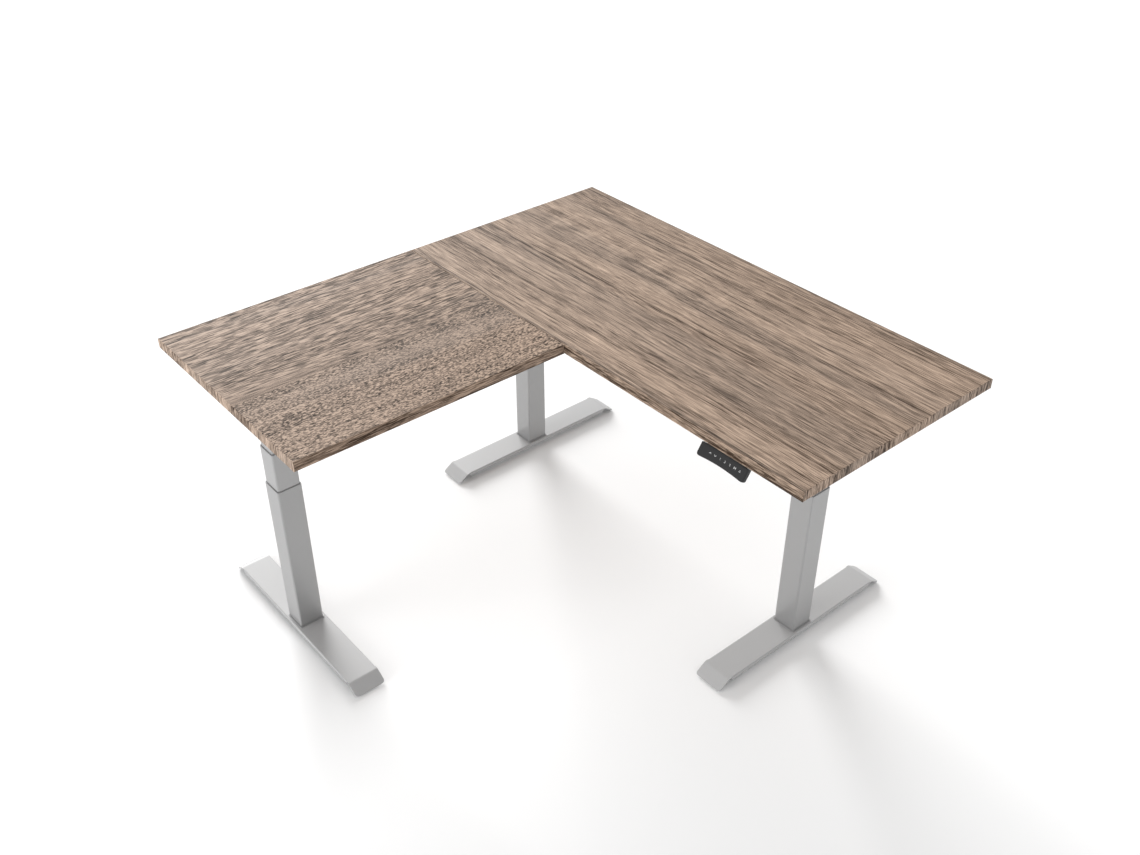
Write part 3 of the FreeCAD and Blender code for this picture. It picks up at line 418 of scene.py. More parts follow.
# Column stages: welded square steel tubes, 70, 65 and 60 mm, with a base plate, a bearing plate
# and a nut plate in their lower ends. The outer stage is powder coated like the foot, the
# sliding ones have a smoother satin coat.
OUTER_SIDE = 0.070
MIDDLE_SIDE = 0.065
INNER_SIDE = 0.060
TUBE_WALL = 0.0015
TUBE_RADIUS = 0.005
BASE_PLATE = 0.003
BASE_PLATE_RADIUS = 0.003
WELD_REACH = 0.0018
WELD_HEIGHT = 0.0011
WELD_SUNK = 0.0002
BEARING_PLATE = 0.004
LIFT_NUT = 0.010
SCREW_HOLE = 0.0123
CORNER_STEPS = 7
STAGE_COAT = coated("satin stage coat", (0.39, 0.39, 0.391), 0.32, clouding=0.04,
                    grain_size=1500.0, metallic=0.5, bump=0.05)


def rounded_plate(shape, width, depth, radius, level, steps=CORNER_STEPS):
    """One flat face with rounded corners, facing up."""
    place = Matrix.Translation((0, 0, level)) @ Matrix.Diagonal((width, depth, 1, 1))
    corners = bmesh.ops.create_grid(shape, x_segments=1, y_segments=1, size=0.5,
                                    matrix=place)["verts"]
    rounded = bmesh.ops.bevel(shape, geom=corners, offset=radius, affect="VERTICES",
                              segments=steps, profile=0.5, material=-1)["verts"]
    return rounded[0].link_faces[0]


def raise_faces(shape, faces, height):
    """Extrudes flat faces upwards and keeps the lower ones, so that the form is closed."""
    made = bmesh.ops.extrude_face_region(shape, geom=faces, use_keep_orig=True)["geom"]
    upper = [part for part in made if isinstance(part, bmesh.types.BMVert)]
    bmesh.ops.translate(shape, vec=(0, 0, height), verts=upper)


def add_tube(shape, width, depth, wall, radius, low, high):
    """A rectangular tube with rounded corners, open at both ends."""
    face = rounded_plate(shape, width, depth, radius, low)
    ring = bmesh.ops.inset_individual(shape, faces=[face], thickness=wall, depth=0.0,
                                      use_even_offset=True)["faces"]
    bmesh.ops.delete(shape, geom=[face], context="FACES_ONLY")
    raise_faces(shape, ring, high - low)


def add_holed_plate(shape, side, hole, low, high, radius=TUBE_RADIUS - TUBE_WALL):
    """A square plate with a round hole through its middle."""
    face = rounded_plate(shape, side, side, radius, low)
    rim = list(face.edges)
    count = len(rim)
    bmesh.ops.delete(shape, geom=[face], context="FACES_ONLY")
    circle = bmesh.ops.create_circle(shape, cap_ends=False, segments=count, radius=hole,
                                     matrix=Matrix.Translation((0, 0, low)))["verts"]
    mouth = list({edge for vert in circle for edge in vert.link_edges})
    flat = bmesh.ops.bridge_loops(shape, edges=rim + mouth)["faces"]
    raise_faces(shape, flat, high - low)


for leg in LEGS:
    matrix = leg_matrix(leg)
    low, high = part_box(f"{leg}_outer_tube")
    outer = bmesh.new()
    add_tube(outer, OUTER_SIDE, OUTER_SIDE, TUBE_WALL, TUBE_RADIUS, low.z + BASE_PLATE, high.z)
    finish_normals(outer)
    outer = new_piece(f"{leg}_outer_stage", outer, POWDER_COAT, matrix=matrix)
    even_shading(outer)
    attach(outer, f"{leg}_base")
    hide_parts(f"{leg}_outer_tube")

    plate = bmesh.new()
    side = min(high.x - low.x, high.y - low.y)
    face = rounded_plate(plate, side, side, BASE_PLATE_RADIUS, low.z)
    raise_faces(plate, [face], BASE_PLATE)
    side = OUTER_SIDE + WELD_REACH
    weld = rounded_plate(plate, side, side, TUBE_RADIUS, low.z + BASE_PLATE - WELD_SUNK)
    raise_faces(plate, [weld], WELD_HEIGHT)
    finish_normals(plate)
    plate = new_piece(f"{leg}_base_plate", plate, POWDER_COAT, matrix=matrix)
    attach(plate, f"{leg}_base")

    for stage, side, plate_height, body in (("middle", MIDDLE_SIDE, BEARING_PLATE, f"{leg}_middle"),
                                            ("inner", INNER_SIDE, LIFT_NUT, "desk")):
        low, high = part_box(f"{leg}_{stage}_tube")
        tube = bmesh.new()
        add_tube(tube, side, side, TUBE_WALL, TUBE_RADIUS, low.z, high.z)
        add_holed_plate(tube, side - 2 * TUBE_WALL, SCREW_HOLE, low.z + 0.0003,
                        low.z + plate_height)
        finish_normals(tube)
        tube = new_piece(f"{leg}_{stage}_stage", tube, STAGE_COAT, matrix=matrix)
        even_shading(tube)
        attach(tube, body)
        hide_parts(f"{leg}_{stage}_tube")

# Collars: grey moulded guides pressed into the mouths of the outer and middle stages. Only a
# thin rim shows.
COLLAR_GREY = coated("grey acetal", (0.30, 0.30, 0.305), 0.45, clouding=0.1, grain_size=1200.0)
COLLAR_RIM = 0.0015
COLLAR_INSET = 0.0003
COLLAR_GAP = 0.0003

for leg in LEGS:
    for stage, side, inner, body in (("outer", OUTER_SIDE, MIDDLE_SIDE, f"{leg}_base"),
                                     ("middle", MIDDLE_SIDE, INNER_SIDE, f"{leg}_middle")):
        low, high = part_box(f"{leg}_{stage}_collar")
        collar = bmesh.new()
        opening = inner + 2 * COLLAR_GAP
        rim = side - 2 * COLLAR_INSET
        sleeve = side - 2 * TUBE_WALL
        add_tube(collar, rim, rim, (rim - opening) / 2, TUBE_RADIUS, high.z - COLLAR_RIM, high.z)
        add_tube(collar, sleeve, sleeve, (sleeve - opening) / 2, TUBE_RADIUS - TUBE_WALL, low.z,
                 high.z - COLLAR_RIM)
        finish_normals(collar)
        collar = new_piece(f"{leg}_{stage}_guide", collar, COLLAR_GREY, matrix=leg_matrix(leg))
        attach(collar, body)
        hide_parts(f"{leg}_{stage}_collar")

# Lifting screws: each column has a four-start screw fixed to its base plate, a threaded tube
# that runs on it, and a plain drive tube with the worm wheel. Rolled steel, lightly oiled.
OILED_STEEL = coated("oiled steel", (0.42, 0.42, 0.43), 0.28, clouding=0.2, grain_size=700.0,
                     spread=0.2, metallic=1.0, bump=0.08)
SCREW_STARTS = 4
SCREW_PITCH = 0.005
SCREW_CREST = 0.006
SCREW_ROOT = SCREW_CREST * 0.84
SCREW_FLANGE_RADIUS = 0.015
SCREW_FLANGE = 0.004
THREAD_END = 0.002
TUBE_CREST = 0.012
TUBE_ROOT = TUBE_CREST - 0.0008
TUBE_BORE = 0.009
TUBE_NUT = 0.020
TUBE_THREAD_START = 0.014
BEARING_RADIUS = 0.017
BEARING_LOW = 0.0083
BEARING_HIGH = 0.0113
DRIVE_OUTER = 0.0085
DRIVE_BORE = 0.0065
WHEEL_RADIUS = 0.011
WHEEL_HEIGHT = 0.016
WHEEL_TEETH = 22
TOOTH_HEIGHT = 0.0018
TOOTH_ROOTED = 0.0004
TOOTH_HALF = 0.0007


def add_pipe(shape, outer, inner, low, high, steps=32):
    """A round tube, or a washer when it is short."""
    loops = []
    for radius in (outer, inner):
        circle = bmesh.ops.create_circle(shape, cap_ends=False, segments=steps, radius=radius,
                                         matrix=Matrix.Translation((0, 0, low)))["verts"]
        loops += {edge for vert in circle for edge in vert.link_edges}
    flat = bmesh.ops.bridge_loops(shape, edges=loops)["faces"]
    raise_faces(shape, flat, high - low)


def add_block(shape, low, high, radius=0.0, steps=3):
    """A box between two corners, every edge rounded."""
    size = Vector(high) - Vector(low)
    place = Matrix.Translation((Vector(low) + Vector(high)) / 2) @ Matrix.Diagonal((*size, 1))
    made = bmesh.ops.create_cube(shape, size=1.0, matrix=place)["verts"]
    if radius:
        edges = {edge for vert in made for edge in vert.link_edges}
        bevel_edges(shape, list(edges), radius, steps)


for leg in LEGS:
    matrix = leg_matrix(leg)
    low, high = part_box(f"{leg}_base_screw")
    screw = bmesh.new()
    add_rod(screw, SCREW_ROOT, low.z, high.z, ease=0.0006)
    add_rod(screw, SCREW_FLANGE_RADIUS, low.z, low.z + SCREW_FLANGE, ease=0.0005)
    thread = bmesh.new()
    add_thread(thread, SCREW_ROOT, SCREW_CREST, SCREW_PITCH, low.z + SCREW_FLANGE,
               high.z - THREAD_END, lead=SCREW_STARTS * SCREW_PITCH)
    add_copies(screw, thread, turned(SCREW_STARTS))
    finish_normals(screw)
    screw = new_piece(f"{leg}_lift_screw", screw, OILED_STEEL, matrix=matrix)
    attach(screw, f"{leg}_base")
    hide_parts(f"{leg}_base_screw")

    low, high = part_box(f"{leg}_screw_tube")
    sleeve = bmesh.new()
    add_pipe(sleeve, TUBE_ROOT, TUBE_BORE, low.z + TUBE_NUT, high.z)
    add_pipe(sleeve, TUBE_ROOT, SCREW_CREST + 0.0003, low.z, low.z + TUBE_NUT)
    add_pipe(sleeve, BEARING_RADIUS, TUBE_CREST - 0.001, low.z + BEARING_LOW, low.z + BEARING_HIGH)
    thread = bmesh.new()
    add_thread(thread, TUBE_ROOT, TUBE_CREST, SCREW_PITCH, low.z + TUBE_THREAD_START,
               high.z - THREAD_END, lead=SCREW_STARTS * SCREW_PITCH)
    add_copies(sleeve, thread, turned(SCREW_STARTS))
    finish_normals(sleeve)
    sleeve = new_piece(f"{leg}_threaded_tube", sleeve, OILED_STEEL, matrix=matrix)
    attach(sleeve, f"{leg}_screw")
    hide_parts(f"{leg}_screw_tube")

    low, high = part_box(f"{leg}_drive_tube")
    drive = bmesh.new()
    add_pipe(drive, DRIVE_OUTER, DRIVE_BORE, low.z, high.z)
    wheel_low = high.z - WHEEL_HEIGHT
    wheel_root = WHEEL_RADIUS - TOOTH_HEIGHT
    add_pipe(drive, wheel_root, DRIVE_OUTER - 0.0002, wheel_low, high.z, 2 * WHEEL_TEETH)
    tooth = bmesh.new()
    add_block(tooth, (wheel_root - TOOTH_ROOTED, -TOOTH_HALF, wheel_low + 0.0005),
              (WHEEL_RADIUS, TOOTH_HALF, high.z - 0.0005), 0.0003, 1)
    add_copies(drive, tooth, turned(WHEEL_TEETH))
    finish_normals(drive)
    drive = new_piece(f"{leg}_worm_wheel_tube", drive, OILED_STEEL, matrix=matrix)
    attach(drive, f"{leg}_drive")
    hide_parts(f"{leg}_drive_tube")

# Gearboxes and motors: a die-cast housing in three layers, bolted up to its arm, with a cable
# socket in its side. Its round black motor has a ribbed end bell and a worm on its shaft.
CAST_ALUMINIUM = coated("cast aluminium", (0.44, 0.44, 0.45), 0.5, clouding=0.15, grain_size=500.0,
                        metallic=0.8, bump=0.3)
MOTOR_BLACK = coated("motor enamel", (0.03, 0.03, 0.032), 0.35, clouding=0.15, grain_size=900.0,
                     bump=0.12, coat=0.2)
BLACK_SOCKET = coated("black socket plastic", (0.018, 0.018, 0.019), 0.4, clouding=0.2,
                      grain_size=1400.0, bump=0.2)
HOUSING_WALL = 0.014
HOUSING_RADIUS = 0.006
HOUSING_BORE = 0.0125
END_LAYER = 0.0103
LAYER_GAP = 0.0002
SIDE_RIBS = (-0.030, -0.020, 0.020, 0.030)
SIDE_RIB_END = 0.013
PORT_WIDTH = 0.017
PORT_HEIGHT = 0.009
PORT_DEPTH = 0.011
PORT_PINS = 4
PIN_PITCH = 0.0036
PIN_HALF = 0.0005
MOTOR_HEIGHT = 0.7555
MOTOR_SHIFT = 0.016
MOTOR_START = 0.038
MOTOR_FLANGE = 0.003
MOTOR_RADIUS = 0.022
SEAM_DEPTH = 0.0006
BELL_START = 0.0995
BELL_END = 0.120
BELL_RIBS = 12
BOSS_RADIUS = 0.009
BOSS_END = 0.122
SHAFT_END = -0.020
SHAFT_RADIUS = 0.0036
WORM_RADIUS = 0.0045
WORM_PITCH = 0.004
WORM_HALF = 0.014


def divide(shape, axis, values):
    """Cuts the whole skin at several planes across one axis."""
    normal = Vector((axis == "x", axis == "y", axis == "z"))
    for value in values:
        geometry = [*shape.verts, *shape.edges, *shape.faces]
        bmesh.ops.bisect_plane(shape, geom=geometry, plane_co=normal * value, plane_no=normal)


def faces_within(shape, low, high):
    """The faces whose middle lies between two corners."""
    found = []
    for face in shape.faces:
        middle = face.calc_center_median()
        if all(low[k] - 1e-5 <= middle[k] <= high[k] + 1e-5 for k in range(3)):
            found.append(face)
    return found


def cut_window(shape, x, z, width, height, y):
    """Cuts a window's outline into the upright wall at Y and gives the faces inside it."""
    left = x - width / 2
    right = x + width / 2
    bottom = z - height / 2
    top = z + height / 2
    divide(shape, "x", (left, right))
    divide(shape, "z", (bottom, top))
    return faces_within(shape, (left, y - 0.0001, bottom), (right, y + 0.0001, top))


def sink(shape, faces, move):
    """Pushes a window of faces inwards and leaves walls round it."""
    made = bmesh.ops.extrude_face_region(shape, geom=faces)["geom"]
    bmesh.ops.delete(shape, geom=[face for face in faces if face.is_valid], context="FACES_ONLY")
    floor = [part for part in made if isinstance(part, bmesh.types.BMVert)]
    bmesh.ops.translate(shape, vec=move, verts=floor)


for leg in LEGS:
    matrix = leg_matrix(leg)
    low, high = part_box(f"{leg}_drive_housing")
    side = (high - low).x
    half = side / 2
    cast = bmesh.new()
    add_tube(cast, side, side, HOUSING_WALL, HOUSING_RADIUS, low.z + END_LAYER + LAYER_GAP,
             high.z - END_LAYER - LAYER_GAP)
    window = cut_window(cast, 0, MOTOR_HEIGHT, PORT_WIDTH, PORT_HEIGHT, -half)
    sink(cast, window, (0, PORT_DEPTH, 0))
    layer = side - 2 * LAYER_GAP
    face = rounded_plate(cast, layer, layer, HOUSING_RADIUS, high.z - END_LAYER)
    raise_faces(cast, [face], END_LAYER)
    add_holed_plate(cast, layer, HOUSING_BORE, low.z, low.z + END_LAYER, HOUSING_RADIUS)
    finish_normals(cast)
    rib = bmesh.new()
    add_block(rib, (-0.0008, -0.001, low.z + SIDE_RIB_END), (0.0008, 0.001, high.z - SIDE_RIB_END),
              0.0005, 2)
    add_copies(cast, rib, [Matrix.Translation((wall, y, 0)) for wall in (-half, half)
                           for y in SIDE_RIBS])
    cast = new_piece(f"{leg}_gearbox", cast, CAST_ALUMINIUM, matrix=matrix)
    even_shading(cast)
    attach(cast, "desk")
    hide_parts(f"{leg}_drive_housing")

    port = bmesh.new()
    end = PORT_DEPTH - half
    add_block(port, (-PORT_WIDTH / 2, end - 0.0005, MOTOR_HEIGHT - PORT_HEIGHT / 2),
              (PORT_WIDTH / 2, end + 0.0002, MOTOR_HEIGHT + PORT_HEIGHT / 2))
    for pin in range(PORT_PINS):
        x = (pin - (PORT_PINS - 1) / 2) * PIN_PITCH
        add_block(port, (x - PIN_HALF, end - 0.008, MOTOR_HEIGHT - PIN_HALF),
                  (x + PIN_HALF, end + 0.0001, MOTOR_HEIGHT + PIN_HALF), 0.0002, 1)
    port = new_piece(f"{leg}_gearbox_socket", port, BLACK_SOCKET, matrix=matrix)
    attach(port, "desk")

    lengthwise = matrix @ Matrix.Translation((MOTOR_SHIFT, 0, MOTOR_HEIGHT))
    lengthwise = lengthwise @ Matrix.Rotation(-math.pi / 2, 4, "X")
    can = bmesh.new()
    add_rod(can, MOTOR_RADIUS, MOTOR_START + MOTOR_FLANGE, BELL_START - 0.0015, steps=64, ease=0.0012)
    add_rod(can, MOTOR_RADIUS - SEAM_DEPTH, BELL_START - 0.002, BELL_START + 0.0005, steps=64,
            ease=0.0004)
    add_rod(can, MOTOR_RADIUS, BELL_START, BELL_END, steps=64, ease=0.0022)
    add_rod(can, BOSS_RADIUS, BELL_END - 0.0005, BOSS_END, steps=48, ease=0.0008)
    rib = bmesh.new()
    add_block(rib, (BOSS_RADIUS + 0.002, -0.0007, BELL_END - 0.0015),
              (MOTOR_RADIUS - 0.0025, 0.0007, BELL_END + 0.0007), 0.0003, 1)
    add_copies(can, rib, turned(BELL_RIBS))
    finish_normals(can)
    can = new_piece(f"{leg}_motor_can", can, MOTOR_BLACK, matrix=lengthwise)
    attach(can, "desk")
    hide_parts(f"{leg}_drive_motor")

    shaft = bmesh.new()
    add_rod(shaft, MOTOR_RADIUS + 0.0005, MOTOR_START, MOTOR_START + MOTOR_FLANGE + 0.0002,
            steps=64, ease=0.0006)
    add_rod(shaft, SHAFT_RADIUS, SHAFT_END, MOTOR_START + 0.001, ease=0.0005)
    add_thread(shaft, SHAFT_RADIUS, WORM_RADIUS, WORM_PITCH, -WORM_HALF, WORM_HALF)
    finish_normals(shaft)
    shaft = new_piece(f"{leg}_motor_flange", shaft, OILED_STEEL, matrix=lengthwise)
    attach(shaft, "desk")

# Arms: a pressed plate under the tops on every column, its sides flanged down either side of
# the rails and tapering out at the ends. Powder coated.
ARM_SHEET = 0.004
ARM_WAIST = 0.071
ARM_TAPER = 0.196
ARM_FLANGE = 0.016
ARM_TIP_FLANGE = 0.0005
ARM_BEND = 0.003
ARM_CORNER = 0.006

for leg in LEGS:
    low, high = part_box(f"{leg}_arm")
    size = high - low
    reach = max(size.x, size.y) / 2
    half = min(size.x, size.y) / 2
    stations = (-reach, -ARM_TAPER, -ARM_WAIST, ARM_WAIST, ARM_TAPER, reach)
    last = len(stations) - 1
    arm = bmesh.new()
    bmesh.ops.create_grid(arm, x_segments=last, y_segments=1, size=0.5)
    for vert in arm.verts:
        column = round((vert.co.x + 0.5) * last)
        vert.co = (stations[column], math.copysign(half, vert.co.y), high.z)
    sides = [edge for edge in arm.edges
             if abs(edge.verts[0].co.y - edge.verts[1].co.y) < 1e-6
             and abs((edge.verts[0].co.x + edge.verts[1].co.x) / 2) > ARM_WAIST]
    made = bmesh.ops.extrude_edge_only(arm, edges=sides)["geom"]
    lower = [part for part in made if isinstance(part, bmesh.types.BMVert)]
    for vert in lower:
        flange = ARM_TIP_FLANGE if abs(vert.co.x) > ARM_TAPER + 0.001 else ARM_FLANGE
        vert.co.z -= ARM_SHEET + flange
    inner = [vert for vert in lower if abs(vert.co.x) < ARM_WAIST + 0.001]
    bevel_corners(arm, inner, ARM_CORNER, 4)
    bevel_edges(arm, [edge for edge in sides if edge.is_valid], ARM_BEND, 4)
    arm = new_piece(f"{leg}_top_arm", arm, POWDER_COAT, matrix=leg_matrix(leg))
    give_thickness(arm, ARM_SHEET, CUT_EASE)
    even_shading(arm)
    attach(arm, "desk")
    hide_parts(f"{leg}_arm")

# Rails: 40 x 20 mm rectangular steel tube, powder coated like the columns, with black moulded
# plugs pressed into the free ends.
RAIL_WALL = 0.002
RAIL_RADIUS = 0.0035
PLUG_RIM = 0.0015
PLUG_INSET = 0.0003
PLUG_DEPTH = 0.012
PLUG_GAP = 0.0002
PLUG_RADIUS = 0.0015

for rail in ("main_rail_back", "main_rail_front", "return_rail_left", "return_rail_right"):
    low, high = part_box(rail)
    size = high - low
    length = max(size.x, size.y)
    wide = min(size.x, size.y)
    turn = Matrix.Rotation(math.pi / 2, 4, "Y")
    if size.y > size.x:
        turn = Matrix.Rotation(math.pi / 2, 4, "Z") @ turn
    place = Matrix.Translation(middle_of(rail)) @ turn
    tube = bmesh.new()
    add_tube(tube, size.z, wide, RAIL_WALL, RAIL_RADIUS, -length / 2, length / 2)
    finish_normals(tube)
    tube = new_piece(f"{rail}_tube", tube, POWDER_COAT, matrix=place)
    even_shading(tube)
    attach(tube, "desk")
    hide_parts(rail)

    plugs = bmesh.new()
    for end in (-1, 1):
        if rail.startswith("return") and end > 0:
            continue
        start = end * length / 2
        rim = rounded_plate(plugs, size.z - 2 * PLUG_INSET, wide - 2 * PLUG_INSET, RAIL_RADIUS,
                            min(start, start + end * PLUG_RIM))
        raise_faces(plugs, [rim], PLUG_RIM)
        inset = RAIL_WALL + PLUG_GAP
        stem = rounded_plate(plugs, size.z - 2 * inset, wide - 2 * inset, PLUG_RADIUS,
                             min(start, start - end * PLUG_DEPTH))
        raise_faces(plugs, [stem], PLUG_DEPTH)
    finish_normals(plugs)
    plugs = new_piece(f"{rail}_plugs", plugs, BLACK_NYLON, matrix=place)
    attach(plugs, "desk")

# Bracket: a folded steel angle that carries the return's rails on the main desk's front rail.
# Its free corners are rounded, and it is powder coated.
BRACKET_SHEET = 0.004
BRACKET_BEND = 0.005
BRACKET_CORNER = 0.008

low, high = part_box("return_bracket")
angle = bmesh.new()
bmesh.ops.create_grid(angle, x_segments=1, y_segments=1, size=0.5)
for vert in angle.verts:
    vert.co = (low.x if vert.co.x < 0 else high.x, low.y if vert.co.y < 0 else high.y, low.z)
bmesh.ops.reverse_faces(angle, faces=angle.faces[:])
fold = [edge for edge in angle.edges if all(vert.co.y > high.y - 1e-5 for vert in edge.verts)]
free = [vert for vert in angle.verts if vert.co.y < low.y + 1e-5]
wall = bmesh.ops.extrude_edge_only(angle, edges=fold)["geom"]
upper = [part for part in wall if isinstance(part, bmesh.types.BMVert)]
bmesh.ops.translate(angle, vec=(0, 0, high.z - low.z), verts=upper)
bevel_corners(angle, free + upper, BRACKET_CORNER, 5)
bevel_edges(angle, [edge for edge in fold if edge.is_valid], BRACKET_BEND, 6)
angle = new_piece("rail_angle", angle, POWDER_COAT)
give_thickness(angle, BRACKET_SHEET, CUT_EASE)
even_shading(angle)
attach(angle, "desk")
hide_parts("return_bracket")

# Seam plates: two flat steel plates screwed across the joint between the tops, with rounded
# corners and a powder coat.
SEAM_PLATE_WIDTH = 0.090
PLATE_CORNER = 0.006
PLATE_GAP = 0.0001


def ease_rims(shape, ease, steps=2, angle=1.2):
    """Eases every edge where two faces meet at more than the angle."""
    rims = [edge for edge in shape.edges if edge.calc_face_angle(0) > angle]
    bevel_edges(shape, rims, ease, steps)


low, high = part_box("seam_plates")
seam_middle = middle_of("seam_plates")
seam_plate_places = (low.x + SEAM_PLATE_WIDTH / 2, high.x - SEAM_PLATE_WIDTH / 2)
plate = bmesh.new()
face = rounded_plate(plate, SEAM_PLATE_WIDTH, high.y - low.y, PLATE_CORNER, low.z)
raise_faces(plate, [face], high.z - low.z - PLATE_GAP)
finish_normals(plate)
ease_rims(plate, 0.0005)
plates = bmesh.new()
add_copies(plates, plate, [Matrix.Translation((x, seam_middle.y, 0)) for x in seam_plate_places])
plates = new_piece("seam_plate_pair", plates, POWDER_COAT)
even_shading(plates)
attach(plates, "desk")
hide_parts("seam_plates")

# Tops: two 27 mm boards faced with grey-brown oak laminate, edged with 2 mm bands in the same
# print. The main board's grain runs along X, the return's along Y.
BAND = 0.002
BAND_EASE = 0.0014
BOARD_EASE = 0.0003
SAW_PERIOD = 0.131
OFF_BOARD = 9.0


def oak_group():
    """Oak print: bands, wavy dark lines, flecks and saw marks. X of the vector is the grain."""
    group, given, put = new_group(
        "oak print",
        {"Vector": ("Vector", None), "Fleck Length": ("Float", 0.03), "Fleck Width": ("Float", 0.003),
         "Flecks": ("Float", 0.4), "Lines": ("Float", 0.5), "Bands": ("Float", 0.5),
         "Light": ("Color", (0.5, 0.4, 0.3, 1)), "Dark": ("Color", (0.2, 0.15, 0.1, 1)),
         "Grey": ("Color", (0.3, 0.3, 0.3, 1)), "Saw Across": ("Float", 0.0),
         "Saw Start": ("Float", 0.0), "Saw End": ("Float", 0.8),
         "Dark Line": ("Float", OFF_BOARD), "Greying": ("Float", 0.3)},
        {"Color": ("Color", None), "Roughness": ("Float", None), "Height": ("Float", None)})

    def math_node(operation, first, second=None, third=None, clamp=False):
        """A math node. Each input is a number or a (node, output) pair."""
        node = add_node(group, "ShaderNodeMath", operation=operation, use_clamp=clamp)
        for index, value in enumerate((first, second, third)):
            if isinstance(value, tuple):
                link(group, value[0], value[1], node, index)
            elif value is not None:
                node.inputs[index].default_value = value
        return node, "Value"

    def noise(source, along, across, offset=0.0, detail=2.0, roughness=0.5):
        """Noise whose cells are stretched along the grain. Sizes are cells to the metre."""
        place = add_node(group, "ShaderNodeMapping",
                         {"Location": (offset, offset * 1.7, offset * 0.6),
                          "Scale": (along, across, across)})
        link(group, source[0], source[1], place, "Vector")
        cells = add_node(group, "ShaderNodeTexNoise", {"Scale": 1.0, "Detail": detail,
                                                       "Roughness": roughness})
        link(group, place, "Vector", cells, "Vector")
        return cells, "Fac"

    def ramp(source, low, high):
        """Rescales a value so that low becomes nought and high becomes one."""
        node = add_node(group, "ShaderNodeMapRange", {"From Min": low, "From Max": high},
                        interpolation_type="SMOOTHSTEP")
        link(group, source[0], source[1], node, "Value")
        return node, "Result"

    # The grain sways a little, so every layer but the saw marks is read from a bent vector.
    plain = (given, "Vector")
    sway = noise(plain, 2.2, 5.0, 3.0, detail=1.0)
    swing = math_node("MULTIPLY_ADD", sway, 0.018, -0.009)
    shift = add_node(group, "ShaderNodeCombineXYZ")
    link(group, swing[0], swing[1], shift, "Y")
    link(group, swing[0], swing[1], shift, "Z")
    bent = add_node(group, "ShaderNodeVectorMath", operation="ADD")
    link(group, given, "Vector", bent, 0)
    link(group, shift, "Vector", bent, 1)
    wavy = (bent, "Vector")

    # Broad bands and grey patches, then streaks and fibres, then year rings and dark threads.
    bands = ramp(noise(wavy, 0.5, 9.0, 11.0, detail=2.0), 0.30, 0.70)
    greys = ramp(noise(wavy, 0.45, 7.0, 23.0, detail=1.0), 0.52, 0.70)
    streaks = ramp(noise(wavy, 2.4, 75.0, 31.0, detail=4.0, roughness=0.65), 0.28, 0.72)
    fibres = noise(wavy, 11.0, 420.0, 43.0, detail=3.0, roughness=0.7)
    rings = noise(wavy, 1.1, 34.0, 57.0, detail=1.0)
    near = math_node("PINGPONG", math_node("MULTIPLY", rings, 5.0), 0.5)
    lines = ramp(near, 0.055, 0.0)
    broken = ramp(noise(wavy, 3.0, 30.0, 61.0, detail=2.0), 0.42, 0.60)
    lines = math_node("MULTIPLY", lines, broken)
    threads = ramp(noise(wavy, 1.8, 115.0, 91.0, detail=1.0), 0.43, 0.33)

    # Flecks, cream and dusky, whose cells have the given length and width.
    size = add_node(group, "ShaderNodeCombineXYZ")
    for socket, source in (("X", "Fleck Length"), ("Y", "Fleck Width"), ("Z", "Fleck Width")):
        link(group, given, source, size, socket)
    scaled = add_node(group, "ShaderNodeVectorMath", operation="DIVIDE")
    link(group, bent, "Vector", scaled, 0)
    link(group, size, "Vector", scaled, 1)
    cream = ramp(noise((scaled, "Vector"), 0.9, 0.9, 71.0, detail=3.0), 0.48, 0.60)
    dusk = ramp(noise((scaled, "Vector"), 0.7, 1.0, 83.0, detail=3.0), 0.51, 0.39)

    # Saw marks: a ragged row of smudges and paler bars, one pair to each period along the grain.
    parts = add_node(group, "ShaderNodeSeparateXYZ")
    ragged = math_node("MULTIPLY_ADD", noise(plain, 22.0, 26.0, 5.0, detail=2.0), 0.05, -0.025)
    link(group, given, "Vector", parts, "Vector")
    along = math_node("ADD", math_node("SUBTRACT", (parts, "X"), (given, "Saw Start")), ragged)
    across = math_node("ADD", math_node("SUBTRACT", (parts, "Y"), (given, "Saw Across")), ragged)
    beat = math_node("COSINE", math_node("MULTIPLY", along, math.tau / SAW_PERIOD))
    off_line = math_node("ABSOLUTE", across)
    run = math_node("MULTIPLY", ramp(along, -0.07, -0.02),
                    ramp(math_node("SUBTRACT", (parts, "X"), (given, "Saw End")), 0.06, -0.06))
    smudge = math_node("MULTIPLY", ramp(beat, -0.1, 0.8), ramp(off_line, 0.050, 0.015))
    bar = math_node("MULTIPLY", ramp(beat, -0.84, -0.97), ramp(off_line, 0.120, 0.040))
    saw = math_node("MULTIPLY", math_node("SUBTRACT", math_node("MULTIPLY", bar, 0.6), smudge), run)

    # The tone is nought where the wood is darkest and one where it is lightest.
    tone = math_node("MULTIPLY_ADD", math_node("SUBTRACT", bands, 0.5), (given, "Bands"), 0.42)
    tone = math_node("MULTIPLY_ADD", math_node("SUBTRACT", streaks, 0.5), 0.36, tone)
    tone = math_node("MULTIPLY_ADD", math_node("SUBTRACT", fibres, 0.5), 0.8, tone)
    tone = math_node("MULTIPLY_ADD", saw, 0.13, tone)
    margin = math_node("ABSOLUTE", math_node("SUBTRACT", (parts, "Y"), (given, "Dark Line")))
    tone = math_node("MULTIPLY_ADD", ramp(margin, 0.0042, 0.0022), -0.20, tone)
    fleck = math_node("MULTIPLY_ADD", cream, 1.45, math_node("MULTIPLY", dusk, -0.85))
    tone = math_node("MULTIPLY_ADD", fleck, (given, "Flecks"), tone)
    tone = math_node("SUBTRACT", tone, math_node("MULTIPLY", lines, (given, "Lines")))
    tone = math_node("SUBTRACT", tone, math_node("MULTIPLY", threads, (given, "Lines")), clamp=True)

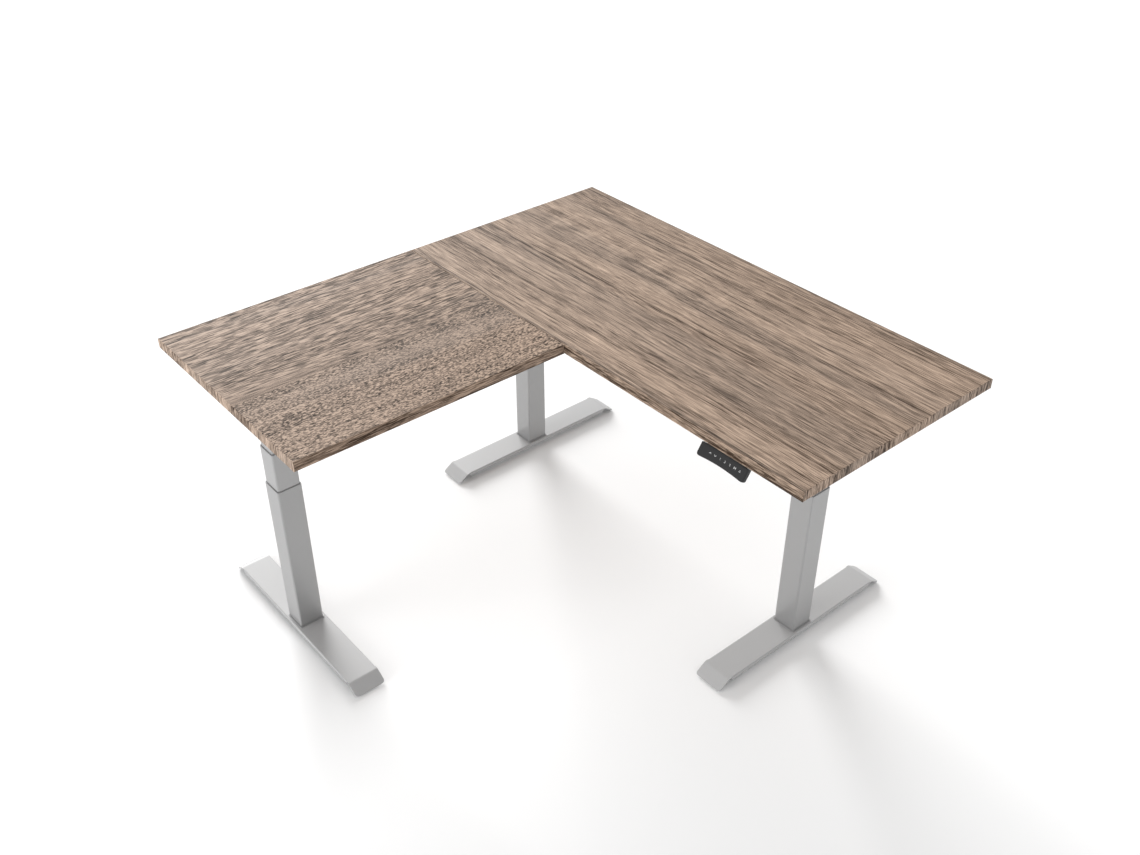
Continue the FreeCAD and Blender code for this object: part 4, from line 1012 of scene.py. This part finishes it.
    wood = add_node(group, "ShaderNodeMix", data_type="RGBA")
    link(group, tone[0], tone[1], wood, 0)
    link(group, given, "Dark", wood, 6)
    link(group, given, "Light", wood, 7)
    silver = add_node(group, "ShaderNodeMix", data_type="RGBA")
    greying = math_node("MAXIMUM", greys, ramp(margin, 0.0045, 0.0025))
    amount = math_node("MULTIPLY", greying, (given, "Greying"))
    link(group, amount[0], amount[1], silver, 0)
    link(group, wood, 2, silver, 6)
    link(group, given, "Grey", silver, 7)
    link(group, silver, 2, put, "Color")
    gloss = math_node("MULTIPLY_ADD", tone, -0.14, 0.62)
    link(group, gloss[0], gloss[1], put, "Roughness")
    link(group, tone[0], tone[1], put, "Height")
    return group


OAK = oak_group()


def oak(name, turn, fleck, flecks, lines, bands, shift=(0, 0, 0),
        saw=(OFF_BOARD, OFF_BOARD, OFF_BOARD), dark_line=OFF_BOARD, greying=0.3,
        light=(0.545, 0.405, 0.305), dark=(0.046, 0.028, 0.018)):
    """Oak laminate. The turn brings the grain's direction to X.

    A fleck is a length and a width. The saw marks are a place across the grain, a start and an
    end along it. Flecks, lines, bands and greying are strengths.
    """
    material = bpy.data.materials.new(name)
    material.use_nodes = True
    tree = material.node_tree
    shader = tree.nodes["Principled BSDF"]
    shader.inputs["Specular IOR Level"].default_value = 0.08
    place = add_node(tree, "ShaderNodeTexCoord")
    grain = add_node(tree, "ShaderNodeMapping", {"Rotation": turn, "Location": shift})
    wood = add_node(tree, "ShaderNodeGroup", node_tree=OAK)
    for socket, value in (("Fleck Length", fleck[0]), ("Fleck Width", fleck[1]), ("Flecks", flecks),
                          ("Lines", lines), ("Bands", bands), ("Light", (*light, 1)),
                          ("Dark", (*dark, 1)), ("Grey", (0.165, 0.145, 0.130, 1)),
                          ("Saw Across", saw[0]), ("Saw Start", saw[1]), ("Saw End", saw[2]),
                          ("Dark Line", dark_line), ("Greying", greying)):
        wood.inputs[socket].default_value = value
    relief = add_node(tree, "ShaderNodeBump", {"Strength": 0.25, "Distance": 0.0003})
    link(tree, place, "Object", grain, "Vector")
    link(tree, grain, "Vector", wood, "Vector")
    link(tree, wood, "Color", shader, "Base Color")
    link(tree, wood, "Roughness", shader, "Roughness")
    link(tree, wood, "Height", relief, "Height")
    link(tree, relief, "Normal", shader, "Normal")
    return material


def shorten_flecks(material, start, end, short):
    """Lets the flecks shorten across the board, from their own length at start to short at end."""
    tree = material.node_tree
    wood = next(node for node in tree.nodes if node.type == "GROUP")
    place = next(node for node in tree.nodes if node.type == "TEX_COORD")
    parts = add_node(tree, "ShaderNodeSeparateXYZ")
    length = wood.inputs["Fleck Length"].default_value
    fade = add_node(tree, "ShaderNodeMapRange", {"From Min": start, "From Max": end,
                                                 "To Min": length, "To Max": short})
    link(tree, place, "Object", parts, "Vector")
    link(tree, parts, "X", fade, "Value")
    link(tree, fade, "Result", wood, "Fleck Length")


ALONG_Y = (0, 0, math.pi / 2)
ALONG_Z = (0, math.pi / 2, 0)
MAIN_OAK = oak("main oak", (0, 0, 0), (0.0600, 0.0015), 0.27, 0.24, 0.20,
               saw=(0.507, -0.68, 0.10), dark_line=0.0485, greying=0.14, light=(0.575, 0.428, 0.324))
RETURN_OAK = oak("return oak", ALONG_Y, (0.036, 0.0036), 0.46, 0.12, 0.16,
                 saw=(-0.335, 0.02, 0.45), greying=0.2, light=(0.455, 0.330, 0.246),
                 dark=(0.030, 0.018, 0.011))
shorten_flecks(RETURN_OAK, -0.44, -0.34, 0.0075)
LONG_BAND_OAK = oak("long band oak", (0, 0, 0), (0.03, 0.0022), 0.34, 0.60, 0.3, shift=(5.0, 2.0, 0))
RETURN_BAND_OAK = oak("return band oak", ALONG_Y, (0.03, 0.0026), 0.34, 0.45, 0.3,
                      shift=(3.0, 4.0, 0), light=(0.50, 0.365, 0.275))
# Bands across the grain: their grain runs up the edge, and their lighter colour is painted light on
# these end faces.
END_BAND_OAK_PAINTED_LIGHTER = oak("end band oak painted lighter", ALONG_Z, (0.02, 0.0030), 0.30, 0.26, 0.4, shift=(1.0, 7.0, 0),
                   light=(0.66, 0.50, 0.39))

for top, board_oak, side_oak, grain_axis in (
        ("main_top", MAIN_OAK, LONG_BAND_OAK, "x"),
        ("return_top", RETURN_OAK, RETURN_BAND_OAK, "y")):
    low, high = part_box(top)
    board = bmesh.new()
    add_block(board, (low.x + BAND, low.y + BAND, low.z), (high.x - BAND, high.y - BAND, high.z),
              BOARD_EASE, 1)
    board = new_piece(f"{top}_board", board, board_oak)
    even_shading(board)
    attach(board, "desk")
    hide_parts(top)

    for side in ("front", "back", "left", "right"):
        band = bmesh.new()
        start = Vector(low)
        end = Vector(high)
        if side == "front":
            end.y = low.y + BAND
        elif side == "back":
            start.y = high.y - BAND
        elif side == "left":
            end.x = low.x + BAND
        else:
            start.x = high.x - BAND
        if side in ("left", "right"):
            start.y += BAND
            end.y -= BAND
        add_block(band, start, end)
        outer = {"front": low.y, "back": high.y, "left": low.x, "right": high.x}[side]
        axis = 1 if side in ("front", "back") else 0
        edges = [edge for edge in band.edges
                 if all(abs(vert.co[axis] - outer) < 1e-6 for vert in edge.verts)]
        bevel_edges(band, edges, BAND_EASE, 4)
        along_grain = (side in ("front", "back")) == (grain_axis == "x")
        band = new_piece(f"{top}_{side}_band", band, side_oak if along_grain else END_BAND_OAK_PAINTED_LIGHTER)
        even_shading(band)
        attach(band, "desk")

# Control box: a thin folded steel tray with five sockets along its back and pressed ridges
# below, under a cover plate whose ears are screwed to the main top.
BOX_BLACK = coated("black box coat", (0.028, 0.028, 0.03), 0.5, clouding=0.15, grain_size=900.0,
                   bump=0.3)
CONTACT_BRASS = coated("brass contact", (0.62, 0.48, 0.22), 0.3, clouding=0.2, grain_size=900.0,
                       metallic=1.0, bump=0.05)
BOX_RADIUS = 0.0018
MAINS_SOCKET = (0.026, 0.018, 3)
MOTOR_SOCKET = (0.020, 0.012, 5)
HANDSET_SOCKET = (0.016, 0.014, 4)
# The sockets by their places along the box. Each is a width, a height and a count of contacts.
SOCKETS = {-0.095: MAINS_SOCKET, -0.050: MOTOR_SOCKET, -0.020: MOTOR_SOCKET, 0.010: MOTOR_SOCKET,
           0.050: HANDSET_SOCKET}
SOCKET_WALL = 0.0015
SOCKET_RIM = 0.0006
SOCKET_RECESS = 0.011
SOCKET_DEPTH = 0.014
CONTACT_HALF = 0.0006
RIDGES = 9
RIDGE_PITCH = 0.011
RIDGE = Vector((0.0016, 0.028, 0.0006))

low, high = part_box("control_case")
case_middle = middle_of("control_case")
case = bmesh.new()
add_block(case, low, high, BOX_RADIUS)
for place, (width, tall, pins) in SOCKETS.items():
    window = cut_window(case, case_middle.x + place, case_middle.z, width, tall, high.y)
    bmesh.ops.delete(case, geom=window, context="FACES")
ridge = bmesh.new()
add_block(ridge, -RIDGE, RIDGE, 0.0005, 2)
ridge_start = case_middle.x - (RIDGES - 1) / 2 * RIDGE_PITCH
add_copies(case, ridge, [Matrix.Translation((ridge_start + number * RIDGE_PITCH, case_middle.y, low.z))
                         for number in range(RIDGES)])
case = new_piece("control_tray", case, BOX_BLACK)
even_shading(case)
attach(case, "desk")
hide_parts("control_case")

low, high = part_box("control_cover")
cover_middle = middle_of("control_cover")
cover = bmesh.new()
face = rounded_plate(cover, high.x - low.x, high.y - low.y, PLATE_CORNER, low.z)
raise_faces(cover, [face], high.z - low.z - PLATE_GAP)
bmesh.ops.translate(cover, vec=(cover_middle.x, cover_middle.y, 0), verts=cover.verts[:])
finish_normals(cover)
ease_rims(cover, 0.0004)
cover = new_piece("control_lid", cover, BOX_BLACK)
even_shading(cover)
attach(cover, "desk")
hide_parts("control_cover")

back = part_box("control_sockets")[1].y
level = middle_of("control_sockets").z
cups = bmesh.new()
contacts = bmesh.new()
for place, (width, tall, pins) in SOCKETS.items():
    x = case_middle.x + place
    cup = bmesh.new()
    add_block(cup, (x - width / 2, back - SOCKET_DEPTH, level - tall / 2),
              (x + width / 2, back + SOCKET_RIM, level + tall / 2))
    inside = width - 2 * SOCKET_WALL
    mouth = cut_window(cup, x, level, inside, tall - 2 * SOCKET_WALL, back + SOCKET_RIM)
    sink(cup, mouth, (0, -SOCKET_RECESS, 0))
    ease_rims(cup, 0.0003)
    finish_normals(cup)
    add_copies(cups, cup, [Matrix.Identity(4)])
    for pin in range(pins):
        across = x + (pin - (pins - 1) / 2) * inside / pins
        add_block(contacts, (across - CONTACT_HALF, back - SOCKET_RECESS, level - 2 * CONTACT_HALF),
                  (across + CONTACT_HALF, back - 0.003, level + 2 * CONTACT_HALF), 0.0002, 1)
cups = new_piece("socket_cups", cups, BLACK_SOCKET)
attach(cups, "desk")
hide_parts("control_sockets")
contacts = new_piece("socket_contacts", contacts, CONTACT_BRASS)
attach(contacts, "desk")

# Handset: a black moulded shell with a concave lower edge, screwed under the front of the main
# top by its tab. A dark touch panel with seven thin printed marks covers its sloping face.
SHELL_BLACK = coated("handset shell", (0.005, 0.005, 0.005), 0.5, clouding=0.15,
                     grain_size=1800.0, bump=0.2)
PANEL_GREY = coated("handset panel", (0.014, 0.014, 0.0145), 0.42, clouding=0.06,
                    grain_size=1200.0, spread=0.06, bump=0.02, specular=0.25)
MARK_WHITE = coated("printed marks", (0.72, 0.72, 0.72), 0.5, clouding=0.05, grain_size=2000.0)
FACE_HEIGHT = 0.034
FACE_TILT = math.radians(34)
FACE_HOLLOW = 0.0034
FACE_STEPS = 26
SHELL_THICKNESS = 0.011
SHELL_RADIUS = 0.007
SHELL_EASE = 0.0012
PANEL_INSET = 0.002
PANEL_PROUD = 0.0008
PANEL_SUNK = 0.0004
TAB_INSET = 0.015
TAB_START = 0.012
TAB_THICKNESS = 0.006
NECK_START = 0.0005
NECK_END = 0.016
NECK_THICKNESS = 0.011
HANDSET_REACH = 0.019
HANDSET_DROP = 0.030
MARK_START = -0.038
MARK_STEP = 0.0153
MARK_LEVEL = 0.0200
MARK_HEIGHT = 0.00006

# Each mark: its strokes as points from -1 to 1, its half width, its half height and its weight.
MARKS = (
    ([((-1, -0.5), (0, 0.5), (1, -0.5))], 0.0028, 0.0030, 0.0009),
    ([((-1, 0.5), (0, -0.5), (1, 0.5))], 0.0028, 0.0030, 0.0009),
    ([((-0.4, 0.7), (0.3, 1), (0.3, -1))], 0.0014, 0.0024, 0.0006),
    ([((-1, 0.8), (0, 1), (1, 0.6), (0.8, 0.1), (-1, -1), (1, -1))], 0.0015, 0.0024, 0.0006),
    ([((-1, 1), (0.8, 1), (-0.1, 0.2), (1, -0.3), (0.5, -1), (-1, -0.9))], 0.0015, 0.0024, 0.0006),
    ([((-1, -1), (-1, 1), (0, -0.2), (1, 1), (1, -1))], 0.0026, 0.0024, 0.0009),
    ([((-1, -0.6), (-0.6, -0.2), (-0.5, 0.5), (0, 0.9), (0.5, 0.5), (0.6, -0.2), (1, -0.6),
       (-1, -0.6)), ((-0.15, -1), (0.15, -1))], 0.0022, 0.0026, 0.0006))

low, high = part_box("handset_body")
handset_width = high.x - low.x
handset_middle = middle_of("handset_body")


def handset_plate(inset, below, above):
    """A plate drawn in the face's plane: X along it, Y up it, Z out of it."""
    shape = bmesh.new()
    half = handset_width / 2 - inset
    inner = half - SHELL_RADIUS * 1.6  # the end columns leave room for the rounded corners
    bmesh.ops.create_grid(shape, x_segments=FACE_STEPS, y_segments=1, size=0.5)
    for vert in shape.verts:
        column = round((vert.co.x + 0.5) * FACE_STEPS)
        x = (2 * column / FACE_STEPS - 1) * inner * FACE_STEPS / (FACE_STEPS - 2)
        if column in (0, FACE_STEPS):
            x = math.copysign(half, x)
        rise = inset + max(0.0, FACE_HOLLOW * (1 - (x / inner) ** 2))
        vert.co = (x, FACE_HEIGHT - inset if vert.co.y > 0 else rise, below)
    corners = [vert for vert in shape.verts
               if abs(abs(vert.co.x) - half) < 1e-6 and vert.co.y < FACE_HEIGHT / 2]
    bevel_corners(shape, corners, SHELL_RADIUS - inset, 8)
    outline = bmesh.ops.dissolve_faces(shape, faces=shape.faces[:], use_verts=False)["region"]
    raise_faces(shape, outline, above - below)
    finish_normals(shape)
    return shape


def add_stroke(shape, start, end, width, level):
    """A thin raised bar between two points of the face."""
    run = Vector(end) - Vector(start)
    bar = bmesh.new()
    add_block(bar, (-width / 2, -width / 2, level - 0.0001),
              (run.length + width / 2, width / 2, level + MARK_HEIGHT))
    turn = Matrix.Translation((*start, 0)) @ Matrix.Rotation(math.atan2(run.y, run.x), 4, "Z")
    add_copies(shape, bar, [turn])


board_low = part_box("main_top")[0]
underside = board_low.z
face_place = Matrix.Translation((handset_middle.x, board_low.y - HANDSET_REACH,
                                 underside - HANDSET_DROP))
face_place = face_place @ Matrix.Rotation(math.pi / 2 - FACE_TILT, 4, "X")

shell = handset_plate(0.0, -SHELL_THICKNESS, 0.0)
ease_rims(shell, SHELL_EASE, steps=3, angle=1.0)
bmesh.ops.transform(shell, matrix=face_place, verts=shell.verts[:])
add_block(shell, (low.x + TAB_INSET, board_low.y + TAB_START, underside - TAB_THICKNESS),
          (high.x - TAB_INSET, high.y, underside - 0.0002), 0.001, 2)
add_block(shell, (low.x + TAB_INSET, board_low.y + NECK_START, underside - NECK_THICKNESS),
          (high.x - TAB_INSET, board_low.y + NECK_END, underside - 0.0004), 0.002, 2)
shell = new_piece("handset_shell", shell, SHELL_BLACK)
even_shading(shell)
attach(shell, "desk")
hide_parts("handset_body")

panel = handset_plate(PANEL_INSET, -PANEL_SUNK, PANEL_PROUD)
ease_rims(panel, 0.0003, angle=1.0)
panel = new_piece("handset_touch_panel", panel, PANEL_GREY, matrix=face_place)
even_shading(panel)
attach(panel, "desk")
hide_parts("handset_panel")

marks = bmesh.new()
for number, (strokes, half, tall, weight) in enumerate(MARKS):
    x = MARK_START + number * MARK_STEP
    for polyline in strokes:
        points = [(x + u * half, MARK_LEVEL + v * tall) for u, v in polyline]
        for start, end in zip(points, points[1:]):
            add_stroke(marks, start, end, weight, PANEL_PROUD)
marks = new_piece("handset_marks", marks, MARK_WHITE, matrix=face_place)
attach(marks, "desk")

# Wood screws: pan-head screws with a cross recess, up through the arms, the seam plates, the
# control box's ears and the handset's tab into the tops.
HEAD_RADIUS = 0.0045
HEAD_HEIGHT = 0.003
SHANK_RADIUS = 0.0021
SHANK_LENGTH = 0.018
POINT_RADIUS = 0.0004
POINT_LENGTH = 0.003
ARM_SCREWS = ((0.250, 0.020), (0.120, 0.020))
SEAM_SCREW_INSET = (0.015, 0.020)
EAR_SCREW_INSET = 0.015
TAB_SCREW_INSET = 0.012

screw_points = []
for leg in LEGS:
    for across, along in ARM_SCREWS:
        for x, y in four_ways(across, along):
            screw_points.append(leg_matrix(leg) @ Vector((x, y, underside - ARM_SHEET)))
low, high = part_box("seam_plates")
for middle in seam_plate_places:
    for x, y in four_ways(SEAM_PLATE_WIDTH / 2 - SEAM_SCREW_INSET[0],
                          (high.y - low.y) / 2 - SEAM_SCREW_INSET[1]):
        screw_points.append(Vector((middle + x, seam_middle.y + y, low.z)))
low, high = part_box("control_cover")
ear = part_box("control_case")[0].x - low.x
for x in (low.x + ear / 2, high.x - ear / 2):
    for y in (low.y + EAR_SCREW_INSET, high.y - EAR_SCREW_INSET):
        screw_points.append(Vector((x, y, low.z)))
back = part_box("handset_body")[1].y
for side in (-handset_width / 4, handset_width / 4):
    screw_points.append(Vector((handset_middle.x + side, back - TAB_SCREW_INSET,
                                underside - TAB_THICKNESS)))

screw = bmesh.new()
add_socket_head(screw, HEAD_RADIUS, HEAD_HEIGHT, 0.0, points=8, waist=0.32)
add_rod(screw, SHANK_RADIUS, -0.001, SHANK_LENGTH - POINT_LENGTH, steps=12)
bmesh.ops.create_cone(screw, cap_ends=True, segments=12, radius1=SHANK_RADIUS,
                      radius2=POINT_RADIUS, depth=POINT_LENGTH,
                      matrix=Matrix.Translation((0, 0, SHANK_LENGTH - POINT_LENGTH / 2)))
finish_normals(screw)
screws = bmesh.new()
add_copies(screws, screw, [Matrix.Translation(point) for point in screw_points])
screws = new_piece("top_screws", screws, ZINC)
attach(screws, "desk")
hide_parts("wood_screws")

# Frame bolts: flat hexagon-socket bolts that clamp the arms to the rails and gearboxes, and
# the angle to the rails.
BOLT_HEAD = 0.005
BOLT_HEIGHT = 0.0025
BOLT_SHANK = 0.003
BOLT_LENGTH = 0.012
ARM_BOLTS = ((0.055, 0.018), (0.026, 0.026))
ANGLE_BOLTS = (0.020, 0.045)

low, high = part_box("return_bracket")
left_rail = middle_of("return_rail_left")
right_rail = middle_of("return_rail_right")
pointing_down = Matrix.Rotation(math.pi, 4, "X")
pointing_back = Matrix.Rotation(-math.pi / 2, 4, "X")
bolt_places = []
for leg in LEGS:
    for across, along in ARM_BOLTS:
        for x, y in four_ways(across, along):
            point = leg_matrix(leg) @ Vector((x, y, underside - BOLT_HEIGHT))
            bolt_places.append(Matrix.Translation(point) @ pointing_down)
for rail in (left_rail, right_rail):
    for step in ANGLE_BOLTS:
        point = (rail.x, high.y - BRACKET_SHEET - step, low.z)
        bolt_places.append(Matrix.Translation(point))
third = (high.x - low.x) / 3
for x in (low.x + third, high.x - third):
    point = (x, high.y - BRACKET_SHEET, left_rail.z)
    bolt_places.append(Matrix.Translation(point) @ pointing_back)

bolt = bmesh.new()
add_socket_head(bolt, BOLT_HEAD, BOLT_HEIGHT, 0.0)
add_rod(bolt, BOLT_SHANK, -0.0008, BOLT_LENGTH, steps=16, ease=0.0005)
finish_normals(bolt)
bolts = bmesh.new()
add_copies(bolts, bolt, bolt_places)
bolts = new_piece("arm_and_angle_bolts", bolts, ZINC)
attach(bolts, "desk")
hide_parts("frame_bolts")

# Studio: a pale seamless floor, soft light from the left and the front, and the camera.
FLOOR_SIZE = 30
FLOOR_LEVEL = -0.0003
FLOOR_WHITE = coated("floor paint", (0.95, 0.95, 0.95), 0.7, clouding=0.005, grain_size=60.0,
                     bump=0.01)

floor = bmesh.new()
bmesh.ops.create_grid(floor, x_segments=1, y_segments=1, size=FLOOR_SIZE,
                      matrix=Matrix.Translation((0, 0, FLOOR_LEVEL)))
floor = new_piece("floor", floor, FLOOR_WHITE)

world = bpy.data.worlds.new("studio")
world.use_nodes = True
sky = world.node_tree.nodes["Background"]
sky.inputs["Color"].default_value = (1.0, 1.0, 1.0, 1)
sky.inputs["Strength"].default_value = 0.72
bpy.context.scene.world = world


def soft_sun(name, toward, spread, strength):
    """A far, wide, even light. Toward is the way it shines, and spread is in degrees."""
    light = bpy.data.lights.new(name, "SUN")
    light.angle = math.radians(spread)
    light.energy = strength
    lamp = bpy.data.objects.new(name, light)
    lamp.rotation_euler = Vector(toward).to_track_quat("-Z", "Y").to_euler()
    bpy.context.scene.collection.objects.link(lamp)


soft_sun("left", (0.88, -0.26, -0.37), 32, 3.3)
soft_sun("front", (0.22, 0.94, -0.24), 40, 1.2)

camera_data = bpy.data.cameras.new("camera")
camera_data.sensor_width = 36.0
camera_data.lens = 37.8
camera = bpy.data.objects.new("camera", camera_data)
camera.location = (1.972, -1.639, 2.401)
camera.rotation_euler = (math.radians(54.9), 0.0, math.radians(49.95))
bpy.context.scene.collection.objects.link(camera)
bpy.context.scene.camera = camera
bpy.context.scene.view_settings.view_transform = "Standard"
